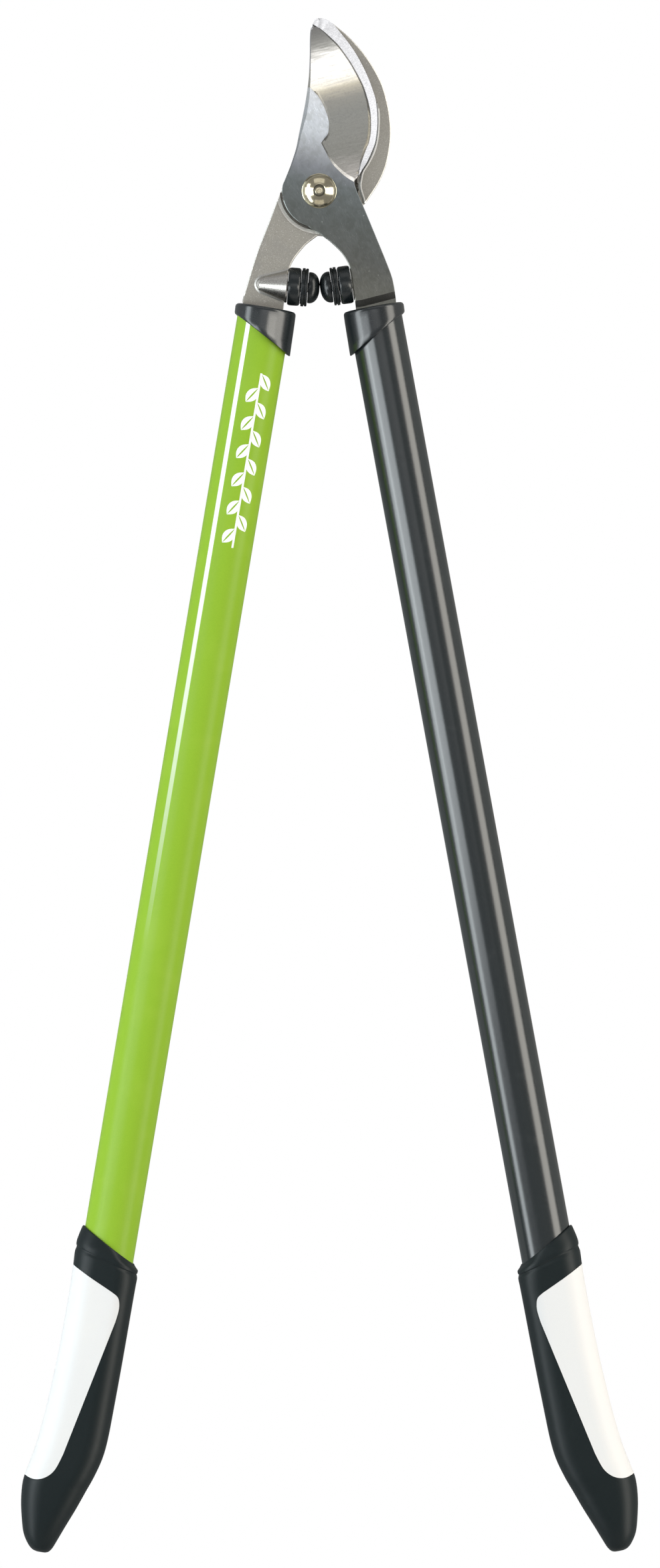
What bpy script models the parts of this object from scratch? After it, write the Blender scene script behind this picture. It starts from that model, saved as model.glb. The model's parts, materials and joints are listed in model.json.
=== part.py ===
import math

import bmesh
import bpy

# Bypass loppers, 0.8 m long, lying flat. Sizes below are in millimetres and angles in degrees.
# The blades point to +Y and face +Z, and the pivot axis is vertical.
MM = 0.001
GAP = 0.3  # between pieces that touch

PIVOT = (-5.3, 309.6)  # pivot axis in plan
MID_HEIGHT = 16.3  # middle plane of the tool above the surface it lies on

# Heights from the middle plane
BLADE_BACK = 0.15
BLADE_FRONT = 5.2
EDGE_THICKNESS = 0.6
HOOK_BACK = -6.15
HOOK_FRONT = -0.15
POCKET_FLOOR = -1.2
ARM_FRONT = 2.6
TANG_HALF = 2.4

BOLT_BORE = 4.3
BOLT_SHANK = 4.0
BOLT_HEAD = 8.8
HEAD_HEIGHT = 4.25
SOCKET = 3.1
SOCKET_DEPTH = 0.7
NUT_PROUD = 0.5  # how far the shank shows below the nut
HUB_BOSS = 18.2
POCKET_RADIUS = 21.5
WASHER_RADIUS = 8.5
WASHER_THICKNESS = 1.5
NUT_ACROSS_FLATS = 13.0
NUT_HEIGHT = 6.5
RING_DEPTH = 1.8
RING_RADIUS = 5.4
COLLAR_OF_NUT = (6.1, 1.2)  # radius and height of the nut's round end

BEVEL_WIDTH = 4.2

TUBE_RADIUS = 13.9
TUBE_WALL = 1.4
TUBE_START = 68.3
TUBE_END = 658.0
COLLAR_TOP = 64.4
COLLAR_ROOF = 3.3
COLLAR_EDGE = 78.5  # where the sloping lower edge crosses the tube's axis
COLLAR_SLOPE = 0.55
TANG_END = 104.0
TANG_INNER = -8.8
TANG_OUTER = 10.0
SLEEVE_END = 110.0
RIVET_PLACE = 73.5
RIVET_RADIUS = 2.5
PLUG_DEPTH = 12.0
PLUG_CAP = 2.0

BUMPER_TOUCH = (0.3, -50.6)  # where the two bumpers meet, from the pivot
STUD_RADIUS = 2.5
CAP_RADIUS = 8.2
CAP_DEPTH = 6.3
CONE_END = 4.6  # radius of a bumper's cone near its rounded end

INLAY_THICKNESS = 1.0
ROUND_SIDES = 32

# side is the sign of the outward direction, angle the tube's lean, offset its axis's distance
# from the pivot, and bumper_angle the direction of the bumper's axis.
HANDLES = {
    "hook": {"side": -1, "angle": 9.49, "offset": 17.5, "grip_shift": 0.0, "bumper_angle": 176.0},
    "blade": {"side": 1, "angle": 10.41, "offset": 16.9, "grip_shift": 1.8, "bumper_angle": 8.0},
}

# Grip sections: distance along the handle, reach inwards, reach outwards, half depth, corner
# radius, and how far the section leans towards the outer side.
GRIP_SECTIONS = [
    (559.6, 14.6, 14.7, 14.7, 14.6, 0.54),
    (560.6, 15.4, 15.4, 15.3, 15.2, 0.52),
    (566.0, 17.1, 17.0, 16.3, 12.5, 0.30),
    (575.0, 17.2, 16.6, 16.3, 11.5, 0.15),
    (590.0, 17.1, 16.4, 16.3, 11.5, 0.0),
    (620.0, 16.9, 16.8, 16.3, 11.5, 0.0),
    (645.0, 16.5, 18.1, 16.3, 11.5, 0.0),
    (660.0, 16.1, 19.4, 16.3, 11.5, 0.0),
    (670.0, 15.0, 20.7, 16.3, 11.5, 0.0),
    (680.0, 12.3, 22.7, 16.3, 11.5, 0.0),
    (688.0, 9.4, 24.0, 15.8, 11.5, 0.0),
    (698.0, 5.8, 23.3, 15.0, 11.0, 0.0),
    (708.0, 1.8, 21.2, 13.8, 10.0, 0.0),
    (715.0, -0.9, 19.1, 12.0, 8.5, 0.0),
    (720.0, -2.9, 16.0, 9.5, 6.5, 0.0),
    (723.2, -5.2, 12.4, 6.0, 3.5, 0.0),
]

# Outline of the pale inlay on the outer side of a grip: outward reach, distance along the handle
INLAY_TOP = [(30.0, 566.0), (16.5, 572.4), (5.0, 578.0), (-6.0, 583.0)]
INLAY_CORNER = [(-6.0, 583.0), (-9.6, 585.6), (-10.9, 591.0), (-10.2, 598.0)]
INLAY_FOOT = [(5.3, 670.5), (8.2, 679.0), (12.5, 683.8), (18.0, 685.7), (23.5, 684.6), (30.0, 682.0)]


def polar(radius, degrees, centre=(0.0, 0.0)):
    angle = math.radians(degrees)
    return (centre[0] + radius * math.cos(angle), centre[1] + radius * math.sin(angle))


def arc(radius, start, end, steps, centre=(0.0, 0.0)):
    return [polar(radius, start + (end - start) * i / steps, centre) for i in range(steps + 1)]


def smooth(points, steps=4):
    """Points along a curve through the given ones, with the given steps between two of them."""
    found = []
    last = len(points) - 1
    for i in range(last):
        before, a, b, after = points[max(i - 1, 0)], points[i], points[i + 1], points[min(i + 2, last)]
        for step in range(steps):
            u = step / steps
            weights = (
                0.5 * (-u + 2 * u * u - u**3),
                0.5 * (2 - 5 * u * u + 3 * u**3),
                0.5 * (u + 4 * u * u - 3 * u**3),
                0.5 * (u**3 - u * u),
            )
            found.append(
                tuple(sum(w * p[k] for w, p in zip(weights, (before, a, b, after))) for k in (0, 1))
            )
    return found + [tuple(points[-1])]


def offset_left(points, widths):
    """The open line moved to the left of its direction, by one width for each point."""
    moved = []
    for i, (x, y) in enumerate(points):
        before, after = points[max(i - 1, 0)], points[min(i + 1, len(points) - 1)]
        dx, dy = after[0] - before[0], after[1] - before[1]
        length = math.hypot(dx, dy)
        moved.append((x - dy / length * widths[i], y + dx / length * widths[i]))
    return moved


# ---- meshes, materials and Booleans


def make_material(name, colour, metallic, roughness):
    material = bpy.data.materials.new(name)
    material.use_nodes = True
    shader = material.node_tree.nodes["Principled BSDF"]
    shader.inputs["Base Color"].default_value = (*colour, 1.0)
    shader.inputs["Metallic"].default_value = metallic
    shader.inputs["Roughness"].default_value = roughness
    return material


def add_piece(name, points, faces, parent, material=None):
    """An object from points in millimetres, in its parent's frame, with its faces turned outwards."""
    mesh = bpy.data.meshes.new(name)
    mesh.from_pydata([tuple(c * MM for c in point) for point in points], [], faces)
    form = bmesh.new()
    form.from_mesh(mesh)
    bmesh.ops.recalc_face_normals(form, faces=form.faces)
    form.to_mesh(mesh)
    form.free()
    mesh.shade_smooth()
    mesh.set_sharp_from_angle(angle=math.radians(35))
    piece = bpy.data.objects.new(name, mesh)
    piece.parent = parent
    if material:
        mesh.materials.append(material)
    bpy.context.scene.collection.objects.link(piece)
    return piece


def loft(name, rings, parent, material=None, wrap=False):
    """Sides between rings of equally many points, and caps on the two ends unless it wraps round."""
    count = len(rings[0])
    pairs = [(i, i + 1) for i in range(len(rings) - 1)]
    if wrap:
        pairs.append((len(rings) - 1, 0))
    faces = [
        (a * count + i, a * count + (i + 1) % count, b * count + (i + 1) % count, b * count + i)
        for a, b in pairs
        for i in range(count)
    ]
    if not wrap:
        faces.append(tuple(range(count)))
        faces.append(tuple(range((len(rings) - 1) * count, len(rings) * count)))
    return add_piece(name, [point for ring in rings for point in ring], faces, parent, material)


def plate(name, outline, low, high, parent, material=None):
    return loft(name, [[(x, y, z) for x, y in outline] for z in (low, high)], parent, material)


def turned(name, profile, parent, material=None, axis="Z", sides=ROUND_SIDES, wrap=False):
    """A profile of (place along the axis, radius) turned about the local X or Z axis."""
    rings = []
    for place, radius in profile:
        circle = [polar(radius, 360 * i / sides) for i in range(sides)]
        rings.append([(a, b, place) if axis == "Z" else (place, a, b) for a, b in circle])
    return loft(name, rings, parent, material, wrap)


def combine(piece, other, operation):
    modifier = piece.modifiers.new(other.name, "BOOLEAN")
    modifier.operation = operation
    modifier.solver = "EXACT"
    modifier.object = other
    other.hide_render = True
    other.display_type = "WIRE"


def cut(piece, *cutters):
    for cutter in cutters:
        combine(piece, cutter, "DIFFERENCE")


def unite(piece, *others):
    for other in others:
        combine(piece, other, "UNION")


def add_axis(name, parent=None, place=(0.0, 0.0, 0.0), turn=0.0):
    empty = bpy.data.objects.new(name, None)
    empty.parent = parent
    empty.location = [c * MM for c in place]
    empty.rotation_euler[2] = math.radians(turn)
    bpy.context.scene.collection.objects.link(empty)
    return empty


# ---- points in a handle's frame, which is turned about the pivot to lie along its tube


def handle_point(handle, outward, along, height):
    return (handle["side"] * (handle["offset"] + outward), -along, height)


def handle_circle(handle, along, radius, lean=0.0, shift=0.0):
    """A ring round the tube's axis, its plane leaning towards the outer side."""
    ring = []
    for i in range(ROUND_SIDES):
        outward, height = polar(radius, 360 * i / ROUND_SIDES, (shift, 0.0))
        ring.append(handle_point(handle, outward, along - lean * outward, height))
    return ring


def handle_round(name, handle, profile, parent, material=None, wrap=False):
    rings = [handle_circle(handle, *station) for station in profile]
    return loft(name, rings, parent, material, wrap)


def handle_plate(name, handle, outline, low, high, parent, material=None):
    rings = [[handle_point(handle, s, t, z) for s, t in outline] for z in (low, high)]
    return loft(name, rings, parent, material)


def handle_wedge(name, handle, profile, parent):
    """A cutter across the whole arm, from a profile of (distance along, height)."""
    rings = [[handle_point(handle, s, t, z) for t, z in profile] for s in (-40.0, 40.0)]
    return loft(name, rings, parent)


def tang_outline(start):
    return [
        (-8.1, start),
        (-9.1, COLLAR_TOP - 1.0),
        (-9.1, COLLAR_TOP + 1.6),
        (TANG_INNER, COLLAR_TOP + 2.2),
        (TANG_INNER, TANG_END),
        (TANG_OUTER, TANG_END),
        (TANG_OUTER, COLLAR_TOP + 2.2),
        (12.1, COLLAR_TOP + 1.2),
        (12.1, COLLAR_TOP - 1.0),
        (11.0, start),
    ]


# ---- the two forged heads


def hook_arm_sides():
    outer = smooth([(-20.0, 0.0), (-26.2, -16.0), (-32.8, -33.0), (-38.0, -50.0), (-40.4, -58.0)], 2)
    inner = smooth([(-18.6, -61.6), (-17.0, -47.0), (-14.8, -38.0), (-8.0, -28.7), (-0.8, -22.9)], 3)
    return outer + inner


def hook_outline():
    inner_edge = smooth(
        [
            (7.0, 81.4), (11.5, 76.0), (20.0, 64.0), (26.5, 52.0), (28.8, 40.0), (27.0, 28.5),
            (21.5, 20.6), (12.5, 17.2),
        ]
    )
    hub_top = arc(18.5, 66, 168, 8)
    hub_bottom = arc(23.2, -86, -20, 6)
    outer_edge = smooth(
        [
            (24.6, -5.0), (31.5, 5.5), (36.2, 20.0), (37.3, 32.0), (34.0, 52.0), (25.0, 69.5),
            (16.0, 80.0), (6.9, 87.6),
        ]
    )
    return inner_edge + hub_top + hook_arm_sides() + hub_bottom + outer_edge


def hook_arm_outline():
    """The part of the hook's arm that stands nearly as high as the blade, with its shoulder uncut."""
    return hook_arm_sides() + [(-3.2, -21.3), (-3.2, -19.0), (-18.5, -1.0)]


def blade_outline():
    """The outline up to the cutting edge, and the cutting edge, which runs up to the tip."""
    back_edge = smooth(
        [
            (-1.6, 90.0), (-4.2, 85.5), (-4.9, 78.0), (-5.0, 66.0), (-6.6, 50.0), (-9.3, 35.0),
            (-12.1, 22.0), (-16.3, 9.8),
        ],
        3,
    )
    heel = arc(19.4, 177, 250, 8)
    arm_inner = smooth(
        [(-3.0, -20.4), (3.0, -24.3), (9.0, -29.3), (13.5, -35.0), (16.7, -43.0), (18.4, -56.2)], 3
    )
    step_edge = [(27.0, -55.5), (39.6, -52.3)]
    arm_outer = smooth(
        [(38.0, -45.5), (32.3, -30.5), (24.0, -10.5), (19.2, 0.0), (18.2, 4.6), (20.5, 8.0)], 3
    )
    cutting_edge = smooth(
        [
            (20.9, 8.6), (25.0, 15.5), (28.9, 25.5), (30.3, 38.0), (27.0, 55.5), (18.0, 73.5),
            (8.5, 85.9), (0.6, 90.3),
        ]
    )
    return back_edge + heel + arm_inner + step_edge + arm_outer, cutting_edge


def bumper_boss(name, head, handle):
    """A cone that carries the bumper, along its axis and rounded at its far end."""
    boss = turned(
        name,
        [(16.7, 8.7), (29.8, CONE_END + 0.5), (32.2, CONE_END - 0.9), (33.4, CONE_END - 3.2)],
        head,
        axis="X",
        sides=24,
    )
    boss.location = (BUMPER_TOUCH[0] * MM, BUMPER_TOUCH[1] * MM, 0.0)
    boss.rotation_euler[2] = math.radians(handle["bumper_angle"])
    return boss


def stud_bore(name, head, handle):
    bore = turned(name, [(15.0, STUD_RADIUS + GAP), (27.5, STUD_RADIUS + GAP)], head, axis="X", sides=16)
    bore.location = (BUMPER_TOUCH[0] * MM, BUMPER_TOUCH[1] * MM, 0.0)
    bore.rotation_euler[2] = math.radians(handle["bumper_angle"])
    return bore


def rivet_bore(name, handle, line, height=20.0):
    ring = [polar(RIVET_RADIUS + GAP, 360 * i / 16, (0.0, RIVET_PLACE)) for i in range(16)]
    return handle_plate(name, handle, ring, -height, height, line)


def make_hook(head, line, handle, steel):
    hook = plate("hook_blade", hook_outline(), HOOK_BACK, HOOK_FRONT, head, steel)
    unite(hook, plate("hook_arm_front", hook_arm_outline(), HOOK_FRONT - 1.0, ARM_FRONT, head))
    cut(hook, turned("hook_pocket", [(POCKET_FLOOR, POCKET_RADIUS), (9.0, POCKET_RADIUS)], head, sides=64))
    level_tang = [(COLLAR_TOP - 1.0, -TANG_HALF), (70.0, -TANG_HALF)]
    back_slope = [(32.0, HOOK_BACK)] + level_tang + [(70.0, -14.0), (32.0, -14.0)]
    cut(hook, handle_wedge("hook_back_slope", handle, back_slope, line))
    tang = handle_plate("hook_tang", handle, tang_outline(52.0), -TANG_HALF, TANG_HALF, line)
    unite(hook, tang, bumper_boss("hook_boss", head, handle))
    bore = turned("hook_bolt_bore", [(-20.0, BOLT_BORE), (20.0, BOLT_BORE)], head)
    cut(hook, bore, stud_bore("hook_stud_bore", head, handle), rivet_bore("hook_rivet_bore", handle, line))


def make_blade(head, line, handle, steel):
    body, edge = blade_outline()
    last = len(edge) - 1
    # the bevel narrows to an eighth of its width at both ends
    widths = []
    for i in range(last + 1):
        widths.append(BEVEL_WIDTH * min(1.0, 0.12 + 5 * i / last, 0.12 + 5 * (last - i) / last))
    sharp = body + edge
    ground = body + offset_left(edge, widths)
    levels = [(sharp, BLADE_BACK), (sharp, BLADE_BACK + EDGE_THICKNESS), (ground, BLADE_FRONT)]
    blade = loft("cutting_blade", [[(x, y, z) for x, y in outline] for outline, z in levels], head, steel)
    hub = turned("blade_hub", [(POCKET_FLOOR + GAP, HUB_BOSS), (2.0, HUB_BOSS)], head, sides=48)
    tang = handle_plate("blade_tang", handle, tang_outline(44.0), -TANG_HALF, TANG_HALF, line)
    back_slope = [(40.0, 0.4), (58.0, -TANG_HALF), (58.0, -9.0), (40.0, -9.0)]
    cut(tang, handle_wedge("blade_back_slope", handle, back_slope, line))
    boss = bumper_boss("blade_boss", head, handle)
    trim = [(-80, -80), (80, -80), (80, 0), (-80, 0)]
    cut(boss, plate("blade_boss_trim", trim, BLADE_FRONT - 1.0, 20.0, head))
    unite(blade, hub, tang, boss)
    bore = turned("blade_bolt_bore", [(-20.0, BOLT_BORE), (20.0, BOLT_BORE)], head)
    cut(blade, bore, stud_bore("blade_stud_bore", head, handle), rivet_bore("blade_rivet_bore", handle, line))


# ---- the pivot


def hexagon(across_flats, place, sides=24):
    ring = []
    for i in range(sides):
        degrees = 360 * i / sides
        from_flat = (degrees + 30) % 60 - 30
        radius = across_flats / 2 / math.cos(math.radians(from_flat))
        ring.append((*polar(radius, degrees), place))
    return ring


def make_pivot(head, nickel, zinc, nylon):
    under_head = BLADE_FRONT + GAP
    washer_top = HOOK_BACK - GAP
    nut_top = washer_top - WASHER_THICKNESS - GAP
    nut_bottom = nut_top - NUT_HEIGHT
    profile = [
        (nut_bottom - NUT_PROUD, BOLT_SHANK - 0.6),
        (nut_bottom, BOLT_SHANK),
        (under_head, BOLT_SHANK),
        (under_head, BOLT_HEAD),
    ]
    for degrees in (20, 40, 55):
        rise = math.sin(math.radians(degrees)) ** 0.8
        profile.append((under_head + HEAD_HEIGHT * rise, BOLT_HEAD * math.cos(math.radians(degrees))))
    top = under_head + HEAD_HEIGHT
    profile += [(top, SOCKET + 0.4), (top - SOCKET_DEPTH, SOCKET), (top - SOCKET_DEPTH, 0.8)]
    turned("pivot_bolt", profile, head, nickel)
    bore = BOLT_SHANK + GAP
    washer_bottom = washer_top - WASHER_THICKNESS
    turned(
        "pivot_washer",
        [
            (washer_bottom, WASHER_RADIUS),
            (washer_top, WASHER_RADIUS),
            (washer_top, bore),
            (washer_bottom, bore),
        ],
        head,
        zinc,
        wrap=True,
    )
    seat = nut_bottom + RING_DEPTH
    end_radius, end_height = COLLAR_OF_NUT
    rings = [hexagon(NUT_ACROSS_FLATS, nut_top), hexagon(NUT_ACROSS_FLATS, nut_bottom + end_height)]
    inner = RING_RADIUS + GAP
    rows = [(nut_bottom, end_radius), (nut_bottom, inner), (seat, inner), (seat, bore), (nut_top, bore)]
    for place, radius in rows:
        rings.append([(*polar(radius, 15 * i), place) for i in range(24)])
    loft("pivot_nut", rings, head, zinc, wrap=True)
    turned(
        "nut_locking_ring",
        [(nut_bottom, RING_RADIUS), (seat - GAP, RING_RADIUS), (seat - GAP, bore), (nut_bottom, bore)],
        head,
        nylon,
        sides=24,
        wrap=True,
    )


# ---- the bumpers


def make_bumper(label, head, handle, rubber, zinc):
    bore = STUD_RADIUS + GAP
    dome = []
    for degrees in (12, 30, 50, 70, 90):
        angle = math.radians(degrees)
        place = GAP / 2 + (CAP_DEPTH - GAP) * (1 - math.cos(angle))
        dome.append((place, CAP_RADIUS * math.sin(angle) ** 0.8))
    profiles = {
        "cap": dome + [(CAP_DEPTH, CAP_RADIUS), (CAP_DEPTH, bore), (3.4, bore)],
        "flange": [(6.6, 9.6), (6.9, 9.9), (9.5, 9.9), (9.8, 9.6), (9.8, bore), (6.6, bore)],
        "base": [(10.3, 8.6), (11.2, 9.8), (15.2, 9.8), (16.4, 8.4), (16.4, bore), (10.3, bore)],
        "stud": [(3.7, STUD_RADIUS), (27.0, STUD_RADIUS)],
    }
    for part, profile in profiles.items():
        piece = turned(
            f"{label}_bumper_{part}",
            profile,
            head,
            zinc if part == "stud" else rubber,
            axis="X",
            sides=16 if part == "stud" else 28,
            wrap=part in ("flange", "base"),
        )
        piece.location = (BUMPER_TOUCH[0] * MM, BUMPER_TOUCH[1] * MM, 0.0)
        piece.rotation_euler[2] = math.radians(handle["bumper_angle"])


# ---- the handles


def make_collar(label, handle, line, plastic):
    bore = TUBE_RADIUS + GAP
    collar = handle_round(
        f"{label}_collar",
        handle,
        [
            (COLLAR_TOP + COLLAR_ROOF, bore),
            (COLLAR_EDGE, bore, COLLAR_SLOPE),
            (COLLAR_EDGE - 0.3, 16.1, COLLAR_SLOPE, -0.5),
            (COLLAR_TOP + 1.6, 15.9, 0.0, -0.15),
            (COLLAR_TOP + 0.5, 15.5, 0.0, -0.15),
            (COLLAR_TOP, 14.6, 0.0, -0.15),
        ],
        line,
        plastic,
    )
    slot = [(-9.1 - GAP, 60.0), (12.1 + GAP, 60.0), (12.1 + GAP, 69.0), (-9.1 - GAP, 69.0)]
    cut(collar, handle_plate(f"{label}_collar_slot", handle, slot, -TANG_HALF - GAP, TANG_HALF + GAP, line))


def make_tube(label, handle, line, paint, plastic, steel):
    inside = TUBE_RADIUS - TUBE_WALL
    tube = handle_round(
        f"{label}_tube",
        handle,
        [(TUBE_START, TUBE_RADIUS), (TUBE_END, TUBE_RADIUS), (TUBE_END, inside), (TUBE_START, inside)],
        line,
        paint,
        wrap=True,
    )
    cut(tube, rivet_bore(f"{label}_tube_rivet_bore", handle, line))

    fit = inside - GAP
    length = [(TUBE_START, fit), (SLEEVE_END, fit)]
    sleeve = handle_round(f"{label}_tang_sleeve", handle, length, line, plastic)
    slot = [
        (TANG_INNER - GAP, 60.0),
        (TANG_OUTER + GAP, 60.0),
        (TANG_OUTER + GAP, TANG_END + GAP),
        (TANG_INNER - GAP, TANG_END + GAP),
    ]
    cut(sleeve, handle_plate(f"{label}_sleeve_slot", handle, slot, -TANG_HALF - GAP, TANG_HALF + GAP, line))
    cut(sleeve, rivet_bore(f"{label}_sleeve_rivet_bore", handle, line))

    ring = [polar(RIVET_RADIUS, 360 * i / 16, (0.0, RIVET_PLACE)) for i in range(16)]
    handle_plate(f"{label}_tang_rivet", handle, ring, 0.4 - TUBE_RADIUS, TUBE_RADIUS - 0.4, line, steel)

    handle_round(
        f"{label}_tube_plug",
        handle,
        [
            (TUBE_END - PLUG_DEPTH, fit - 0.8),
            (TUBE_END - PLUG_DEPTH + 1.5, fit),
            (TUBE_END + GAP, fit),
            (TUBE_END + GAP, TUBE_RADIUS),
            (TUBE_END + PLUG_CAP, TUBE_RADIUS),
        ],
        line,
        plastic,
    )


def grip_rings(handle, inset):
    """Rounded-rectangle sections down a grip, all drawn in by the inset."""
    rings = []
    for along, inner, outer, depth, corner, lean in GRIP_SECTIONS:
        centre, half = (outer - inner) / 2, (outer + inner) / 2 - inset
        half_depth = depth - inset
        radius = min(corner, half, half_depth)
        ring = []
        for quarter, (across, up) in enumerate(((1, 1), (-1, 1), (-1, -1), (1, -1))):
            middle = (centre + across * (half - radius), up * (half_depth - radius))
            for outward, height in arc(radius, 90 * quarter, 90 * quarter + 90, 7, middle):
                place = along + handle["grip_shift"] - lean * outward
                ring.append(handle_point(handle, outward, place, height))
        rings.append(ring)
    return rings


def inlay_prism(name, handle, line, margin):
    outline = INLAY_TOP[:-1] + smooth(INLAY_CORNER, 4) + smooth(INLAY_FOOT, 3)
    widths = [margin] * len(outline)
    moved = [(s, t + handle["grip_shift"]) for s, t in offset_left(outline, widths)]
    return handle_plate(name, handle, moved, -25.0, 25.0, line)


def make_grip(label, handle, line, rubber, pale):
    bore = TUBE_RADIUS + GAP
    grip = loft(f"{label}_grip", grip_rings(handle, 0.0), line, rubber)
    recess = inlay_prism(f"{label}_inlay_recess", handle, line, GAP / 2)
    cut(recess, loft(f"{label}_grip_core", grip_rings(handle, INLAY_THICKNESS + GAP), line))
    reach = [(530.0, bore), (TUBE_END + PLUG_CAP + GAP, bore)]
    tube_bore = handle_round(f"{label}_grip_bore", handle, reach, line)
    cut(grip, recess, tube_bore)

    inlay = loft(f"{label}_grip_inlay", grip_rings(handle, 0.0), line, pale)
    combine(inlay, inlay_prism(f"{label}_inlay_trim", handle, line, -GAP / 2), "INTERSECT")
    cut(inlay, loft(f"{label}_inlay_core", grip_rings(handle, INLAY_THICKNESS), line))


# ---- the assembly


def main():
    for thing in list(bpy.data.objects):
        bpy.data.objects.remove(thing)

    blade_steel = make_material("blade_steel", (0.42, 0.44, 0.46), 1.0, 0.28)
    hook_steel = make_material("hook_steel", (0.50, 0.47, 0.43), 1.0, 0.45)
    nickel = make_material("bolt_nickel", (0.74, 0.68, 0.55), 1.0, 0.15)
    zinc = make_material("zinc_plate", (0.62, 0.63, 0.65), 1.0, 0.35)
    nylon = make_material("white_nylon", (0.85, 0.85, 0.82), 0.0, 0.5)
    rubber = make_material("bumper_rubber", (0.03, 0.035, 0.035), 0.0, 0.35)
    plastic = make_material("black_plastic", (0.05, 0.06, 0.065), 0.0, 0.4)
    soft_black = make_material("grip_black", (0.025, 0.03, 0.03), 0.0, 0.6)
    pale = make_material("inlay_white", (0.83, 0.83, 0.81), 0.0, 0.5)
    paints = {
        "hook": make_material("green_paint", (0.36, 0.54, 0.05), 0.0, 0.35),
        "blade": make_material("black_paint", (0.045, 0.055, 0.06), 0.2, 0.35),
    }

    heads, lines = {}, {}
    for label, handle in HANDLES.items():
        heads[label] = add_axis(f"{label}_pivot_axis", place=(*PIVOT, MID_HEIGHT))
        lines[label] = add_axis(f"{label}_handle_line", heads[label], turn=handle["side"] * handle["angle"])

    make_hook(heads["hook"], lines["hook"], HANDLES["hook"], hook_steel)
    make_blade(heads["blade"], lines["blade"], HANDLES["blade"], blade_steel)
    make_pivot(heads["hook"], nickel, zinc, nylon)
    for label, handle in HANDLES.items():
        make_bumper(label, heads[label], handle, rubber, zinc)
        make_collar(f"{label}_handle", handle, lines[label], plastic)
        make_tube(f"{label}_handle", handle, lines[label], paints[label], plastic, zinc)
        make_grip(f"{label}_handle", handle, lines[label], soft_black, pale)


main()
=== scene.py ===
import json
import math
from functools import partial

import bmesh
import bpy
import numpy as np
from mathutils import Matrix, Vector
from mathutils.geometry import delaunay_2d_cdt


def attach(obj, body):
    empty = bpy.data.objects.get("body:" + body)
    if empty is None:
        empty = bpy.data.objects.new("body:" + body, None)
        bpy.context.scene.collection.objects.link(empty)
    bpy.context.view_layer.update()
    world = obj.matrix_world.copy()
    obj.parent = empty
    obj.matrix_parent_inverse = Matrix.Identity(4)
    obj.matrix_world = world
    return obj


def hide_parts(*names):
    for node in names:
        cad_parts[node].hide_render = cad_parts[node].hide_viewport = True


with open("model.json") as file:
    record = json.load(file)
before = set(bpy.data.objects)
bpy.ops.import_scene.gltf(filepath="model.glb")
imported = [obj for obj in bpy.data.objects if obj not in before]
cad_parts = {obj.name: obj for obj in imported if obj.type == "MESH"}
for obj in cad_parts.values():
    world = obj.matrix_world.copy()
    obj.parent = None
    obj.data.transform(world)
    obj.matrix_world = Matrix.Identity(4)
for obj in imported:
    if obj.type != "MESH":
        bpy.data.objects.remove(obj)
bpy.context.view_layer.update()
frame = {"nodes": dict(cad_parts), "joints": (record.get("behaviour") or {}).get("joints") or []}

scene = bpy.context.scene
mm = 0.001
pivot = Vector(frame["joints"][0]["pos_m"])  # pivot axis, at the tool's middle height

# side is the sign of the outward direction, angle a tube's lean in degrees, offset its axis's
# distance from the pivot, shift how much further out the grip sits, bumper its axis's direction.
handles = {
    "hook": {"side": -1, "angle": 9.49, "offset": 17.5, "shift": 0.0, "bumper": 176.0},
    "blade": {"side": 1, "angle": 10.41, "offset": 16.9, "shift": 1.8, "bumper": 8.0},
}
bodyOf = {"hook": "hook_side", "blade": "blade_side"}
bumperMeet = (0.3, -50.6)  # where the two bumpers touch


# Points, lines and distances. Lengths are millimetres from the pivot until a mesh is made.

def polar(radius, degrees, centre=(0.0, 0.0)):
    angle = math.radians(degrees)
    return (centre[0] + radius * math.cos(angle), centre[1] + radius * math.sin(angle))


def arc(radius, start, end, steps, centre=(0.0, 0.0)):
    return [polar(radius, start + (end - start) * i / steps, centre) for i in range(steps + 1)]


def smooth(rows, steps=6):
    # a curve through rows of numbers, with the given steps between two of them
    rows = np.array(rows, float)
    found = []
    for i in range(len(rows) - 1):
        before, a = rows[max(i - 1, 0)], rows[i]
        b, after = rows[i + 1], rows[min(i + 2, len(rows) - 1)]
        for u in np.arange(steps) / steps:
            found.append(
                0.5 * (2 * a + u * (b - before) + u * u * (2 * before - 5 * a + 4 * b - after)
                       + u**3 * (3 * a - before - 3 * b + after))
            )
    return found + [rows[-1]]


def evenSteps(line, step):
    # the same line with a point at least every step, its corners kept
    found = []
    for a, b in zip(line, line[1:]):
        a, b = np.array(a, float), np.array(b, float)
        count = max(1, math.ceil(np.linalg.norm(b - a) / step))
        found += [a + (b - a) * i / count for i in range(count)]
    return found + [np.array(line[-1], float)]


def offsetLeft(line, widths):
    # the line moved to its left, by one width or by a width for each point
    line = np.array(line, float)
    along = np.gradient(line, axis=0)
    along /= np.linalg.norm(along, axis=1)[:, None]
    widths = np.broadcast_to(widths, len(line))
    return line + np.stack([-along[:, 1], along[:, 0]], 1) * widths[:, None]


def lengthsAlong(line):
    return np.r_[0, np.cumsum(np.linalg.norm(np.diff(np.array(line), axis=0), axis=1))]

def distanceTo(points, line):
    # distance from each point to the line, and how far along the line its nearest place is
    nearest = np.full(len(points), 1e9)
    place = np.zeros(len(points))
    gone = 0.0
    for a, b in zip(np.array(line[:-1]), np.array(line[1:])):
        span = b - a
        length = max(np.linalg.norm(span), 1e-9)
        u = np.clip((points - a) @ span / length**2, 0, 1)
        away = np.linalg.norm(points - a - u[:, None] * span, axis=1)
        closer = away < nearest
        nearest = np.where(closer, away, nearest)
        place = np.where(closer, gone + u * length, place)
        gone += length
    return nearest, place


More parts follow.
